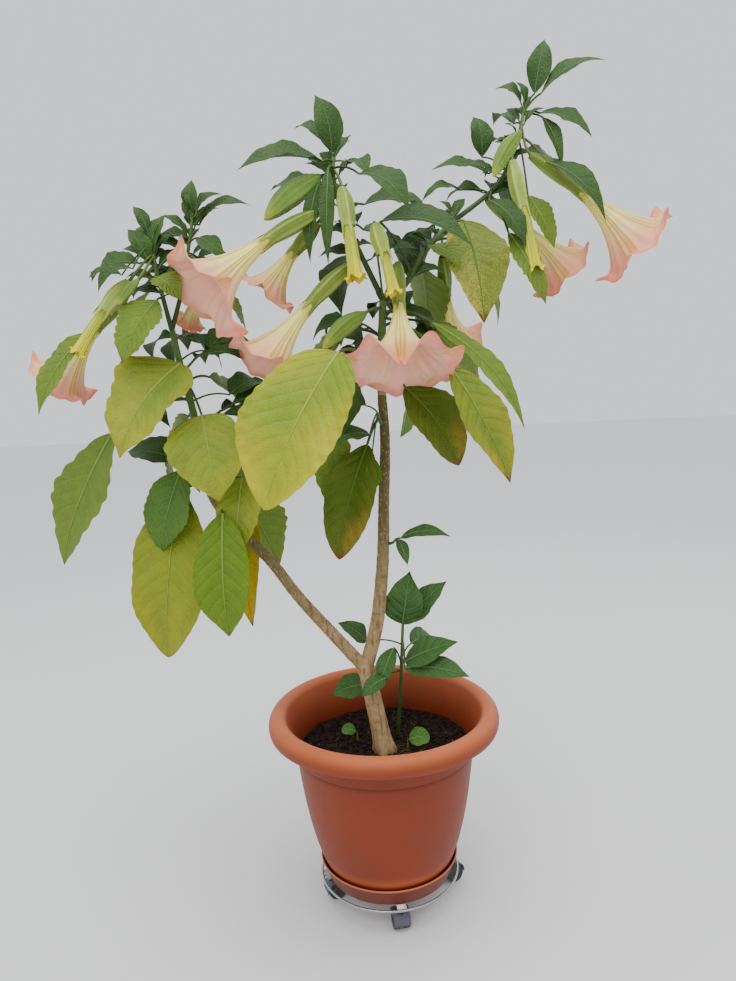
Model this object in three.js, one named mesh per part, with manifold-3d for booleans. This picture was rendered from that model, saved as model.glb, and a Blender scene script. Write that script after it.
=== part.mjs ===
// A potted angel trumpet: a young plant that forks low into a left bough and an upright stem,
// in a rolled-rim plastic pot. The pot stands in its saucer on a wire ring with four casters.
// Millimetres, +Z up. Everything is laid out round the pot's axis, and the whole is then moved
// so that the origin lies on the floor under the middle of its box.
import * as THREE from 'three';
import { mergeVertices } from 'three/addons/utils/BufferGeometryUtils.js';
import Module from 'manifold-3d';

const wasm = await Module();
wasm.setup();

const CLEAR = 0.3; // gap between pieces that touch
const WELD = 0.08; // corners nearer than this become one
const RADIAN = Math.PI / 180;
const GOLDEN_TURN = 137.5; // degrees from one leaf to the next round a shoot

// Casters, each a swivelling hood with a pair of wheels on one axle
const CASTERS = 4;
const CASTER_BEARING = -82; // of the first one, degrees from +X
const SWIVEL_RADIUS = 108;
const TRAIL = 9;
const WHEEL_RADIUS = 16;
const WHEEL_SIDES = 16;
const WHEEL_INNER = 3.2;
const WHEEL_OUTER = 13.5;
const AXLE_RADIUS = 2.2;
const AXLE_BORE = 2.5;
const HOOD_RADIUS = 19;
const HOOD_WALL = 2;
const HOOD_HALF = 14.5;
const ARC_STEPS = 6;
const WEB_HALF = 2.5;
const STEM_RADIUS = 3;
const STEM_BORE = 3.3;
const STEM_TOP = 43.5;

// Ring trolley
const RING_RADIUS = 121.5;
const WIRE_RADIUS = 2.3;
const RING_HEIGHT = 46;
const BAR_WIDTH = 16;
const BAR_TOP = 47.7;
const BAR_THICK = 2.5;
const BOSS_RADIUS = 7;
const BOSS_FOOT = 36;

// Saucer
const SAUCER_FOOT = BAR_TOP + CLEAR;
const SAUCER_FOOT_RADIUS = 109;
const SAUCER_RIM_RADIUS = 122;
const SAUCER_TOP = 82;
const SAUCER_WALL = 2.4;

// Pot: a barrel-sided body, a shallow step under the rim, and a rim rolled over to a lip
const POT_SEGMENTS = 24;
const POT_FOOT = SAUCER_FOOT + SAUCER_WALL + CLEAR;
const POT_WALL = 3;
const POT_FOOT_RADIUS = 100;
const POT_BELLY = new THREE.Vector2(139, 108); // control point of the side's curve
const STEP_RADIUS = 155;
const STEP_HEIGHT = 281;
const STEP_OUT = 2.5;
const NECK_RADIUS = 163;
const NECK_HEIGHT = 319;
const ROLL_CENTRE = new THREE.Vector2(184, 331);
const ROLL_HALF_WIDTH = 16.5;
const ROLL_HALF_HEIGHT = 20;
const ROLL_START = 160; // degrees round the roll, from the mouth over the top to the lip
const ROLL_END = -27;
const SOIL_HEIGHT = 280;

// Trunk: its centre line, its radius at both ends, and its flare at the soil
const FORK = [-27, -15, 425];
const TRUNK = { points: [[0, -23, SOIL_HEIGHT - 15], [-12, -20, 345], [-28, -15, 431]], radius: [16, 14] };
const ROOT_FLARE = 4;
const FLARE_HEIGHT = 14;
const STUB = 35; // length of each limb that the piece below its fork carries

// Leaves and blooms
const LIGHT = new THREE.Vector3(0, -0.62, 0.78); // where the upper faces of leaves turn
const STALK_BOW = 0.1; // rise of a leaf stalk's arch, by its length
const BLADE_BOW = 0.09;
const BLADE_STATIONS = [0.14, 0.42, 0.74, 1]; // of a large leaf, from its foot to its tip
const SMALL_STATIONS = [0.3, 0.7, 1];
const SMALL_BLADE = 90; // longest blade that has the few stations
const BLADE_SLENDER = 80; // a blade's length by its thickness
const BLADE_FOLD = 0.22; // how far the edges stand above the midrib, by the half width
const LOBES = 5;
const BLOOM_WALL = 1.5;
const CALYX = 12; // radius of the green sheath round a bloom's foot
const THROAT = 9; // radius of a bloom's tube where it leaves the sheath
const LOBE_BACK = 0.08; // how far the tips of the lobes are drawn back, by the bloom's length
const SLENDER_MOUTH = 60; // widest mouth of a young bloom

// A shoot grows along its points. Where it has a bough, that is a node of its own up to the bare
// share of the length, and the leaves grow on the rest. Elsewhere the fork below carries its foot.
// A row of a shoot's own leaves says where on the shoot the leaf sits (0 foot, 1 tip), then its
// stalk's length, bearing and rise, then its blade's length, width, bearing and rise.
// A row of blooms says the same of the stalk, then the bloom's length, its mouth's width, and
// its bearing and rise. A mouth of 0 is a closed bud. Lengths in mm, angles in degrees.
const SHOOTS = [
  {
    name: 'foliage_left',
    bough: 'bough_left',
    bare: 0.57,
    points: [
      FORK, [-69, -25, 479], [-131, -45, 564], [-174, -60, 633], [-245, -80, 725],
      [-262, -90, 787], [-272, -95, 880], [-283, -100, 941], [-293, -100, 1004],
    ],
    radius: [11, 4.5],
    leaves: [
      [0.8, 30, -75, 5, 165, 125, -145, -50],
      [0.62, 140, 170, -20, 225, 95, -168, -64],
      [0.4, 60, 140, -35, 100, 60, 163, 10],
      [0.3, 45, -125, -20, 130, 75, -155, -70],
      [0.16, 45, -150, -10, 265, 115, -148, -80],
      [0.05, 45, -90, -10, 190, 82, -117, -85],
      [0.1, 75, -35, 20, 125, 66, -125, -75],
      [0.72, 80, -57, -40, 130, 110, -54, -73],
      [0.07, 84, 42, -22, 205, 42, 165, -84],
      [0.6, 65, 35, 8, 80, 55, 52, 14],
      [0.82, 55, 52, 18, 70, 42, 40, 20],
      [0.25, 60, 80, 10, 170, 90, 75, -55],
      [0.5, 70, 110, 5, 185, 95, 120, -50],
      [0.7, 60, 65, 10, 150, 80, 65, -40],
      [0.12, 60, 55, 0, 175, 85, 45, -62],
    ],
    blooms: [],
    forks: [1, 2],
  },
  {
    name: 'foliage_left_outer',
    points: [[-293, -100, 1000], [-303, -105, 1059], [-312, -110, 1130]],
    radius: [3.8, 2.5],
    leaves: [
      [0.1, 31, -93, -5, 105, 74, -150, -55],
      [0.4, 127, -169, -35, 142, 48, -163, -54],
      [0.9, 60, -173, -41, 50, 26, -173, -4],
      [0.95, 49, -138, -51, 62, 32, -155, -33],
      [0.98, 30, -179, -79, 56, 30, 180, 62],
      [0.98, 24, 127, -75, 70, 32, 11, 66],
      [0.6, 26, -82, -42, 60, 40, -29, -38],
      [0.3, 40, 118, 10, 120, 56, 122, -35],
      [0.6, 35, 150, 15, 100, 48, 155, -10],
      [0.85, 20, 100, 20, 70, 34, 100, 25],
    ],
    blooms: [
      [0.6, 53, -179, -35, 194, 106, 165, -45],
      [0.8, 56, -146, -47, 136, 26, -166, -52],
      [0.75, 50, -115, -45, 48, 0, -156, -49],
    ],
  },
  {
    name: 'foliage_left_inner',
    points: [[-293, -100, 1000], [-277, -85, 1060], [-264, -80, 1119], [-253, -80, 1169]],
    radius: [3.8, 2.2],
    leaves: [
      [0.98, 6, -170, 70, 50, 24, 60, 82],
      [0.95, 13, -53, 10, 52, 26, -8, 34],
      [0.9, 14, -25, -10, 84, 32, -4, 18],
      [0.8, 12, 110, -23, 60, 30, 169, -3],
      [0.7, 23, -43, 13, 60, 34, -22, -41],
      [0.6, 23, 64, -8, 60, 34, 34, -2],
      [0.3, 40, 60, 5, 120, 56, 50, -40],
      [0.55, 35, 92, 10, 95, 46, 88, -20],
    ],
    blooms: [[0.3, 38, 49, -10, 75, 50, 132, -42]],
  },
  {
    name: 'foliage_middle',
    bough: 'upright_stem',
    bare: 0.75,
    points: [
      FORK, [-4, -5, 505], [10, 0, 611], [16, 0, 714], [22, 0, 815], [20, 0, 890],
      [22, 0, 960], [28, 0, 1046],
    ],
    radius: [12.5, 6],
    leaves: [
      [0.2, 179, -108, 14, 248, 155, -153, -58],
      [0.85, 90, -28, -15, 225, 42, -8, -49],
      [0.8, 160, -43, -33, 200, 76, -13, -63],
      [0.45, 90, -61, -41, 150, 88, -14, -56],
      [0.5, 85, -132, -38, 95, 55, -160, -72],
      [0.3, 90, 175, 10, 90, 60, 170, -20],
      [0.35, 80, 75, 5, 190, 95, 80, -50],
      [0.6, 80, 140, 10, 200, 100, 135, -45],
      [0.7, 90, 35, 5, 185, 90, 30, -48],
    ],
    blooms: [
      [0.95, 67, -45, 58, 197, 180, -93, -62],
      [0.98, 130, -97, 52, 114, 28, -25, -76],
      [0.9, 50, -125, -12, 97, 0, -150, -35],
    ],
    forks: [4, 5],
  },
  {
    name: 'foliage_top_left',
    points: [[28, 0, 1042], [-18, -10, 1144], [-40, -20, 1211], [-42, -20, 1263]],
    radius: [5, 3],
    leaves: [
      [0.98, 10, 180, 80, 85, 48, -155, 74],
      [0.95, 26, -129, -10, 136, 44, -158, -7],
      [0.99, 33, 148, 55, 60, 30, 149, 30],
      [0.9, 31, -103, -14, 96, 30, -104, -71],
      [0.9, 60, -46, -20, 110, 55, -34, -36],
      [0.95, 27, 0, -8, 62, 38, -60, -30],
    ],
    fill: {
      count: 6, from: 0.35, to: 0.95, turn: 100, long: [150, 70], rise: [-35, 35], stalk: [55, 15],
    },
    blooms: [
      [0.78, 68, -122, -46, 244, 150, -149, -34],
      [0.7, 51, 163, -48, 146, 104, 173, -50],
      [0.85, 29, -136, -11, 118, 0, -154, -37],
      [0.45, 74, -90, -60, 225, 118, -144, -38],
      [0.9, 58, -72, -43, 148, 34, -56, -79],
    ],
  },
  {
    name: 'foliage_right',
    points: [[28, 0, 1042], [66, 5, 1068], [104, 20, 1124], [152, 35, 1169]],
    radius: [5.8, 4.5],
    leaves: [
      [0.2, 105, -131, 43, 150, 62, -14, -18],
      [0.85, 40, -48, 9, 172, 96, -65, -71],
      [0.5, 42, -86, 0, 70, 40, -39, -35],
      [0.3, 70, 80, 10, 190, 90, 82, -45],
      [0.6, 70, 45, 10, 180, 88, 40, -50],
      [0.85, 60, 110, 15, 150, 75, 100, -35],
    ],
    blooms: [[0.8, 60, 85, -30, 215, 140, 80, -45]],
    forks: [6],
  },
  {
    name: 'foliage_right_tip',
    points: [[152, 35, 1169], [228, 48, 1228], [262, 58, 1300], [276, 62, 1350]],
    radius: [4.3, 2.6],
    leaves: [
      [0.98, 28, -6, 53, 92, 40, 27, 76],
      [0.95, 38, -24, 40, 112, 32, -11, 23],
      [0.95, 29, -37, -15, 98, 44, -24, -31],
      [0.93, 36, -39, -19, 98, 24, -50, -66],
      [0.75, 76, -48, -45, 140, 46, -24, -46],
      [0.95, 15, -156, 70, 50, 26, 180, 31],
      [0.75, 106, -74, -73, 98, 42, -27, -63],
      [0.25, 36, -116, -40, 103, 46, -29, -53],
      [0.2, 81, -53, -60, 132, 48, -20, -63],
      [0.45, 54, 142, 33, 72, 40, 140, 78],
      [0.5, 36, 152, -15, 99, 38, -174, 5],
      [0.2, 50, 159, 13, 71, 26, -172, -14],
      [0.4, 40, 80, 10, 120, 56, 75, -35],
      [0.6, 35, 40, 15, 110, 50, 35, -20],
      [0.85, 25, 110, 20, 85, 38, 105, 20],
    ],
    blooms: [
      [0.85, 76, -57, -83, 236, 140, -14, -40],
      [0.35, 37, 177, -51, 190, 112, 9, -38],
      [0.8, 74, -118, -52, 189, 38, -33, -79],
      [0.95, 43, -116, -56, 92, 0, -157, -54],
    ],
  },
];

// Twigs that leave the upright stem's side, at a height of its centre line
const SIDE_TWIGS = [
  {
    name: 'foliage_stem',
    height: 800,
    turn: -110,
    rise: 35,
    long: 34,
    radius: [3.4, 2.6],
    leaves: [
      [0.6, 60, -144, -6, 182, 78, -148, -78],
      [0.9, 22, -60, 30, 58, 34, -50, 30],
      [0.95, 20, 170, 30, 60, 36, 150, 10],
      [0.8, 30, 20, 10, 70, 40, 30, -40],
    ],
    blooms: [],
  },
  {
    name: 'foliage_stem_low',
    height: 640,
    turn: -30,
    rise: 30,
    long: 22,
    radius: [2.6, 2],
    leaves: [
      [0.8, 22, -25, 15, 85, 24, -10, 8],
      [0.9, 18, -50, 0, 60, 22, -25, -25],
    ],
    blooms: [],
  },
];

// Young growth that stands in the soil
const FOOT_SHOOT = {
  name: 'shoot_foot',
  points: [[25, 32, SOIL_HEIGHT - 5], [34, 34, 380], [44, 38, 520]],
  radius: [4, 2.4],
  leaves: [
    [0.95, 14, -30, 30, 84, 44, -10, 40],
    [0.75, 51, -88, -35, 105, 52, -22, 27],
    [0.6, 55, -87, 3, 113, 46, -21, -1],
    [0.5, 87, -110, 14, 52, 30, -158, -28],
    [0.97, 12, -95, 20, 80, 54, -45, 72],
    [0.5, 62, -175, -20, 70, 48, -172, -9],
    [0.6, 40, 60, 20, 90, 46, 55, -10],
    [0.55, 67, -107, 46, 75, 32, -134, -56],
    [0.7, 65, 172, 4, 63, 36, -174, 40],
  ],
  blooms: [],
};
const SPROUTS = [
  { name: 'sprout_right', foot: [40, -20], turn: 0, blade: [36, 34] },
  { name: 'sprout_left', foot: [-48, 18], turn: 170, blade: [26, 22] },
];
const SPROUT_HEIGHT = 14;

const COLOURS = {
  pot: [0xa9502f, 0.55, 0],
  soil: [0x1d1613, 0.95, 0],
  saucer: [0x9a4830, 0.6, 0],
  ring: [0xb9babb, 0.35, 0.9],
  caster: [0x4a4a52, 0.5, 0],
  bark: [0xa08a63, 0.85, 0],
  foliage: [0x6f8f3a, 0.6, 0],
};

// Turning vectors
const vector = ([x, y, z]) => new THREE.Vector3(x, y, z);
const lerp = (a, b, t) => a + (b - a) * t;

function heading(turn, rise) {
  const flat = Math.cos(rise * RADIAN);
  return new THREE.Vector3(
    flat * Math.cos(turn * RADIAN),
    flat * Math.sin(turn * RADIAN),
    Math.sin(rise * RADIAN),
  );
}

// A closed geometry as a solid that faces out
function solid(geometry) {
  const bare = new THREE.BufferGeometry();
  bare.setAttribute('position', geometry.getAttribute('position'));
  bare.setIndex(geometry.index);
  const merged = mergeVertices(bare, 1e-3);
  const corners = merged.index.array;
  const faces = [];
  for (let i = 0; i < corners.length; i += 3) {
    const [a, b, c] = [corners[i], corners[i + 1], corners[i + 2]];
    if (a !== b && b !== c && c !== a) faces.push(a, b, c);
  }
  const build = (triangles) => new wasm.Manifold(new wasm.Mesh({
    numProp: 3,
    vertProperties: new Float32Array(merged.attributes.position.array),
    triVerts: new Uint32Array(triangles),
  }));
  const made = build(faces);
  return made.volume() > 0 ? made : build(faces.reverse());
}

// The largest closed body of a solid: slivers, loose scraps and sealed hollows go
function body(made) {
  return made.asOriginal().simplify(WELD).decompose().sort((a, b) => b.volume() - a.volume())[0];
}

function mesh(name, made, look) {
  const { vertProperties, triVerts, numProp } = body(made).getMesh();
  const positions = new Float32Array((vertProperties.length / numProp) * 3);
  for (let i = 0; i < positions.length / 3; i++)
    for (let k = 0; k < 3; k++) positions[3 * i + k] = vertProperties[numProp * i + k];
  const geometry = new THREE.BufferGeometry();
  geometry.setAttribute('position', new THREE.BufferAttribute(positions, 3));
  geometry.setIndex(Array.from(triVerts));
  const [color, roughness, metalness] = look;
  const piece = new THREE.Mesh(geometry, new THREE.MeshStandardMaterial({ color, roughness, metalness }));
  piece.name = name;
  return piece;
}

const union = (parts) => parts.reduce((sum, part) => sum.add(part));

// A solid of revolution about Z from a profile of [radius, height]
function turned(profile, segments) {
  const points = profile.map(([radius, height]) => new THREE.Vector2(radius, height));
  const geometry = new THREE.LatheGeometry([...points, points[0]], segments);
  return solid(geometry.rotateX(Math.PI / 2));
}

// A skin over rings of equal count, closed at both ends, or joined end to start
function skin(rings, closed = false) {
  const count = rings[0].length;
  const positions = rings.flat().flatMap((p) => [p.x, p.y, p.z]);
  const faces = [];
  const last = closed ? rings.length : rings.length - 1;
  for (let i = 0; i < last; i++)
    for (let j = 0; j < count; j++) {
      const a = i * count + j;
      const b = i * count + ((j + 1) % count);
      const c = ((i + 1) % rings.length) * count + j;
      const d = ((i + 1) % rings.length) * count + ((j + 1) % count);
      faces.push(a, c, b, b, c, d);
    }
  const end = (rings.length - 1) * count;
  for (let j = 1; j < count - 1 && !closed; j++) {
    faces.push(0, j, j + 1);
    faces.push(end, end + j + 1, end + j);
  }
  const geometry = new THREE.BufferGeometry();
  geometry.setAttribute('position', new THREE.Float32BufferAttribute(positions, 3));
  geometry.setIndex(faces);
  return solid(geometry);
}

// A smooth line through points, measured along its length
function track(points) {
  const steps = 12;
  const knots = points.map(vector);
  const samples = [];
  const last = knots.length - 1;
  for (let i = 0; i < last; i++) {
    const before = knots[Math.max(i - 1, 0)];
    const after = knots[Math.min(i + 2, last)];
    for (let k = 0; k < steps; k++) {
      const u = k / steps;
      samples.push(new THREE.Vector3()
        .addScaledVector(before, (-u + 2 * u ** 2 - u ** 3) / 2)
        .addScaledVector(knots[i], (2 - 5 * u ** 2 + 3 * u ** 3) / 2)
        .addScaledVector(knots[i + 1], (u + 4 * u ** 2 - 3 * u ** 3) / 2)
        .addScaledVector(after, (-(u ** 2) + u ** 3) / 2));
    }
  }
  samples.push(knots[last].clone());
  const reach = [0];
  for (let i = 1; i < samples.length; i++)
    reach.push(reach[i - 1] + samples[i].distanceTo(samples[i - 1]));
  const length = reach[reach.length - 1];
  const at = (distance) => {
    let i = 1;
    while (i < samples.length - 1 && reach[i] < distance) i++;
    const t = (distance - reach[i - 1]) / (reach[i] - reach[i - 1]);
    return samples[i - 1].clone().lerp(samples[i], t);
  };
  const along = (distance) => at(Math.min(distance + 1, length))
    .sub(at(Math.max(Math.min(distance, length) - 1, 0))).normalize();
  return { length, at, along };
}

// A round tube along a track between two distances, its radius a function of the distance
function tube(line, from, to, radiusAt, sides, spacing, least = 3) {
  const count = Math.max(least, Math.round((to - from) / spacing));
  const rings = [];
  let across = new THREE.Vector3(0, 1, 0);
  for (let i = 0; i <= count; i++) {
    const distance = lerp(from, to, i / count);
    const along = line.along(distance);
    across = across.addScaledVector(along, -across.dot(along)).normalize();
    const side = new THREE.Vector3().crossVectors(along, across);
    const centre = line.at(distance);
    const radius = radiusAt(distance);
    const ring = [];
    for (let j = 0; j < sides; j++) {
      const angle = (2 * Math.PI * j) / sides;
      ring.push(centre.clone()
        .addScaledVector(across, radius * Math.cos(angle))
        .addScaledVector(side, radius * Math.sin(angle)));
    }
    rings.push(ring);
  }
  return skin(rings);
}

// A stretch of a shoot's own stem
function stem(shoot, from, to, sides = 8) {
  const line = track(shoot.points);
  const [foot, tip] = shoot.radius;
  return tube(line, from, to ?? line.length, (d) => lerp(foot, tip, d / line.length), sides, 45);
}

// Half the width of a blade, by its own half width, from its foot (0) to its tip (1)
const outline = (t) => Math.max(0.04, Math.sin(Math.PI * t ** 0.85) ** 0.75);

// A leaf: a slim stalk that arches out of the shoot, then a blade folded along its midrib
function leaf(start, row) {
  const [, stalk, turn, rise, long, wide, head, lift] = row;
  const out = heading(turn, rise);
  const down = heading(head, lift);
  const foot = start.clone().addScaledVector(out, stalk);
  const side = new THREE.Vector3().crossVectors(down, LIGHT).normalize();
  const face = new THREE.Vector3().crossVectors(side, down);
  const stalkHalf = 1.2 + long / 160;
  const bladeHalf = Math.max(0.9, long / BLADE_SLENDER / 2);
  const ring = (centre, along, half, lifted, deep) => {
    const across = side.clone().addScaledVector(along, -side.dot(along)).normalize();
    const up = new THREE.Vector3().crossVectors(across, along);
    return [
      centre.clone().addScaledVector(across, -half).addScaledVector(up, lifted),
      centre.clone().addScaledVector(up, deep),
      centre.clone().addScaledVector(across, half).addScaledVector(up, lifted),
      centre.clone().addScaledVector(up, -deep),
    ];
  };
  const rings = [];
  for (const t of long > SMALL_BLADE ? [0, 0.55] : [0]) {
    const centre = start.clone().addScaledVector(out, stalk * t);
    centre.z += STALK_BOW * stalk * 4 * t * (1 - t);
    rings.push(ring(centre, out, stalkHalf, 0, stalkHalf));
  }
  for (const t of [0, ...(long > SMALL_BLADE ? BLADE_STATIONS : SMALL_STATIONS)]) {
    const centre = foot.clone().addScaledVector(down, long * t)
      .addScaledVector(face, BLADE_BOW * long * 4 * t * (1 - t));
    const half = t === 0 ? stalkHalf : Math.max(stalkHalf * (1 - t), (wide / 2) * outline(t));
    const deep = t === 0 ? stalkHalf : bladeHalf;
    rings.push(ring(centre, down, half, t === 0 ? 0 : half * BLADE_FOLD, deep));
  }
  return skin(rings);
}

// A bloom: a stalk, a calyx tube, and a corolla that flares to five drawn-back lobes, or a bud
function bloom(start, row) {
  const [, stalk, turn, rise, long, mouth, head, lift] = row;
  const out = heading(turn, rise);
  const axis = heading(head, lift);
  const foot = start.clone().addScaledVector(out, stalk);
  const across = new THREE.Vector3().crossVectors(axis, new THREE.Vector3(0, 0, 1)).normalize();
  const up = new THREE.Vector3().crossVectors(across, axis);
  const flare = mouth / 2;
  const ring = (t, radiusOf, backOf) => {
    const points = [];
    for (let j = 0; j < 2 * LOBES; j++) {
      const angle = (Math.PI * j) / LOBES;
      points.push(foot.clone()
        .addScaledVector(axis, long * (t - backOf(j)))
        .addScaledVector(across, radiusOf(j) * Math.cos(angle))
        .addScaledVector(up, radiusOf(j) * Math.sin(angle)));
    }
    return points;
  };
  const even = (radius) => () => radius;
  const flat = () => 0;
  const stalkLine = track([start.toArray(), foot.clone().addScaledVector(axis, 4).toArray()]);
  const pedicel = tube(stalkLine, 0, stalkLine.length, () => 2.4, 6, 200, 1);
  if (mouth === 0) {
    const bud = [[0, 0.04], [0.12, 0.1], [0.45, 0.15], [0.8, 0.11], [1, 0.015]];
    return pedicel.add(skin(bud.map(([t, radius]) => ring(t, even(radius * long), flat))));
  }
  const tip = (share) => (j) => share * flare * (j % 2 ? 1 : 0.8);
  const drawn = (j) => (j % 2 ? LOBE_BACK : 0);
  const throat = Math.min(THROAT, 0.5 * flare);
  const width = (share) => lerp(throat, flare, share);
  const sheath = [[0, 4], [0.08, CALYX], [0.38, CALYX - 1], [0.46, throat]];
  const outside = mouth < SLENDER_MOUTH ? [[0.85, width(0.3)]] : [[0.64, width(0.12)], [0.84, width(0.42)]];
  const inside = mouth < SLENDER_MOUTH ? [[0.92, width(0.2)]] : [[0.82, width(0.36)], [0.62, width(0.06)]];
  const skins = [
    ...[...sheath, ...outside].map(([t, radius]) => ring(t, even(radius), flat)),
    ring(1, tip(1), drawn),
    ring(0.985, tip(0.93), drawn),
    ...inside.map(([t, radius]) => ring(t, even(radius - BLOOM_WALL), flat)),
  ];
  return pedicel.add(skin(skins));
}

// The leaves that a shoot's rule adds, in the form of its own rows
function ruleRows(fill) {
  const rows = [];
  for (let i = 0; i < (fill ? fill.count : 0); i++) {
    const t = i / (fill.count - 1);
    const turn = fill.turn + i * GOLDEN_TURN;
    const long = lerp(fill.long[0], fill.long[1], t);
    const rise = lerp(fill.rise[0], fill.rise[1], t);
    rows.push([
      lerp(fill.from, fill.to, t),
      lerp(fill.stalk[0], fill.stalk[1], t),
      turn, rise + 20, long, 0.48 * long, turn, rise,
    ]);
  }
  return rows;
}

// Where a shoot's foliage starts, measured along its line
const foliageFoot = (shoot, line) => (shoot.bough ? shoot.bare * line.length : STUB);

function foliage(shoot) {
  const line = track(shoot.points);
  const start = foliageFoot(shoot, line);
  const place = (share) => line.at(lerp(start, line.length, share));
  const parts = [stem(shoot, start + CLEAR)];
  for (const row of [...shoot.leaves, ...ruleRows(shoot.fill)]) parts.push(leaf(place(row[0]), row));
  for (const row of shoot.blooms) parts.push(bloom(place(row[0]), row));
  for (const index of shoot.forks ?? []) parts.push(stem(SHOOTS[index], 0, STUB));
  return union(parts);
}

// A twig whose foot faces the side of the upright stem
function sideTwig(twig) {
  const upright = SHOOTS.find((shoot) => shoot.bough === 'upright_stem');
  const line = track(upright.points);
  let distance = 0;
  while (line.at(distance).z < twig.height) distance++;
  const surface = lerp(upright.radius[0], upright.radius[1], distance / line.length);
  const out = heading(twig.turn, 0);
  const foot = line.at(distance).addScaledVector(out, surface + CLEAR);
  const tip = foot.clone().addScaledVector(heading(twig.turn, twig.rise), twig.long);
  const knee = foot.clone().addScaledVector(out, twig.long / 3);
  const shape = { points: [foot.toArray(), knee.toArray(), tip.toArray()], radius: twig.radius };
  const own = track(shape.points);
  const parts = [stem(shape, 0, own.length, 6)];
  for (const row of twig.leaves) parts.push(leaf(own.at(row[0] * own.length), row));
  return union(parts);
}

function trunk() {
  const line = track(TRUNK.points);
  const [foot, tip] = TRUNK.radius;
  const radiusAt = (d) => lerp(foot, tip, d / line.length) + ROOT_FLARE * Math.exp(-d / FLARE_HEIGHT);
  const column = tube(line, 0, line.length, radiusAt, 12, 20);
  const limbs = SHOOTS.filter((shoot) => shoot.bough).map((shoot) => stem(shoot, 0, STUB));
  return union([column, ...limbs]).trimByPlane([0, 0, 1], SOIL_HEIGHT + CLEAR);
}

function footShoot() {
  const line = track(FOOT_SHOOT.points);
  const parts = [stem(FOOT_SHOOT, 0, line.length, 6)];
  for (const row of FOOT_SHOOT.leaves) parts.push(leaf(line.at(row[0] * line.length), row));
  return union(parts).trimByPlane([0, 0, 1], SOIL_HEIGHT + CLEAR);
}

// A low round leaf on a short stalk that stands on the soil
function sprout({ foot, turn, blade }) {
  const base = vector([...foot, SOIL_HEIGHT + CLEAR]);
  const [long, wide] = blade;
  const top = base.clone().add(new THREE.Vector3(0, 0, SPROUT_HEIGHT));
  const column = track([base.toArray(), top.toArray()]);
  const stalk = tube(column, 0, column.length, () => 1.5, 6, 50);
  return stalk.add(leaf(top, [0, 3, turn, 10, long, wide, turn, 8]));
}

// The pot's side from its foot to the step, moved inwards by a thickness
function potSide(inset) {
  const curve = new THREE.QuadraticBezierCurve(
    new THREE.Vector2(POT_FOOT_RADIUS, POT_FOOT),
    POT_BELLY,
    new THREE.Vector2(STEP_RADIUS, STEP_HEIGHT),
  );
  return curve.getPoints(4).map((p) => [p.x - inset, p.y]);
}

// The rim's roll, as an arc moved inwards by a thickness
function roll(inset, from, to) {
  const steps = 5;
  const points = [];
  for (let i = 0; i <= steps; i++) {
    const angle = lerp(from, to, i / steps) * RADIAN;
    points.push([
      ROLL_CENTRE.x + (ROLL_HALF_WIDTH - inset) * Math.cos(angle),
      ROLL_CENTRE.y + (ROLL_HALF_HEIGHT - inset) * Math.sin(angle),
    ]);
  }
  return points;
}

function pot() {
  const inside = potSide(POT_WALL).reverse();
  inside.pop();
  return turned([
    [0, POT_FOOT],
    ...potSide(0),
    [STEP_RADIUS + STEP_OUT, STEP_HEIGHT + STEP_OUT],
    [NECK_RADIUS, NECK_HEIGHT],
    ...roll(POT_WALL, ROLL_START, ROLL_END),
    ...roll(0, ROLL_END, ROLL_START),
    [NECK_RADIUS - POT_WALL, NECK_HEIGHT],
    ...inside,
    [POT_FOOT_RADIUS - POT_WALL + 1.5, POT_FOOT + POT_WALL],
    [0, POT_FOOT + POT_WALL],
  ], POT_SEGMENTS);
}

// The soil fills the pot to its height, clear of the wall
function soil() {
  const side = potSide(POT_WALL + CLEAR).filter(([, height]) => height > POT_FOOT + POT_WALL + 5);
  const top = side.pop()[0];
  const floor = POT_FOOT + POT_WALL + CLEAR;
  return turned([
    [0, floor],
    [POT_FOOT_RADIUS - POT_WALL, floor],
    ...side,
    [top - 0.5, SOIL_HEIGHT],
    [0, SOIL_HEIGHT],
  ], POT_SEGMENTS);
}

function saucer() {
  const inner = SAUCER_RIM_RADIUS - SAUCER_WALL;
  return turned([
    [0, SAUCER_FOOT],
    [SAUCER_FOOT_RADIUS, SAUCER_FOOT],
    [SAUCER_RIM_RADIUS - 1.5, SAUCER_TOP - 4],
    [SAUCER_RIM_RADIUS, SAUCER_TOP - 3],
    [SAUCER_RIM_RADIUS, SAUCER_TOP],
    [inner, SAUCER_TOP],
    [SAUCER_FOOT_RADIUS - 1.5, SAUCER_FOOT + SAUCER_WALL],
    [0, SAUCER_FOOT + SAUCER_WALL],
  ], 30);
}

const cylinder = (radius, height, sides) => solid(
  new THREE.CylinderGeometry(radius, radius, height, sides).rotateX(Math.PI / 2),
);

const casterBearing = (index) => CASTER_BEARING + (360 / CASTERS) * index;
const swivelPoint = (index) => heading(casterBearing(index), 0).multiplyScalar(SWIVEL_RADIUS);

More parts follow.
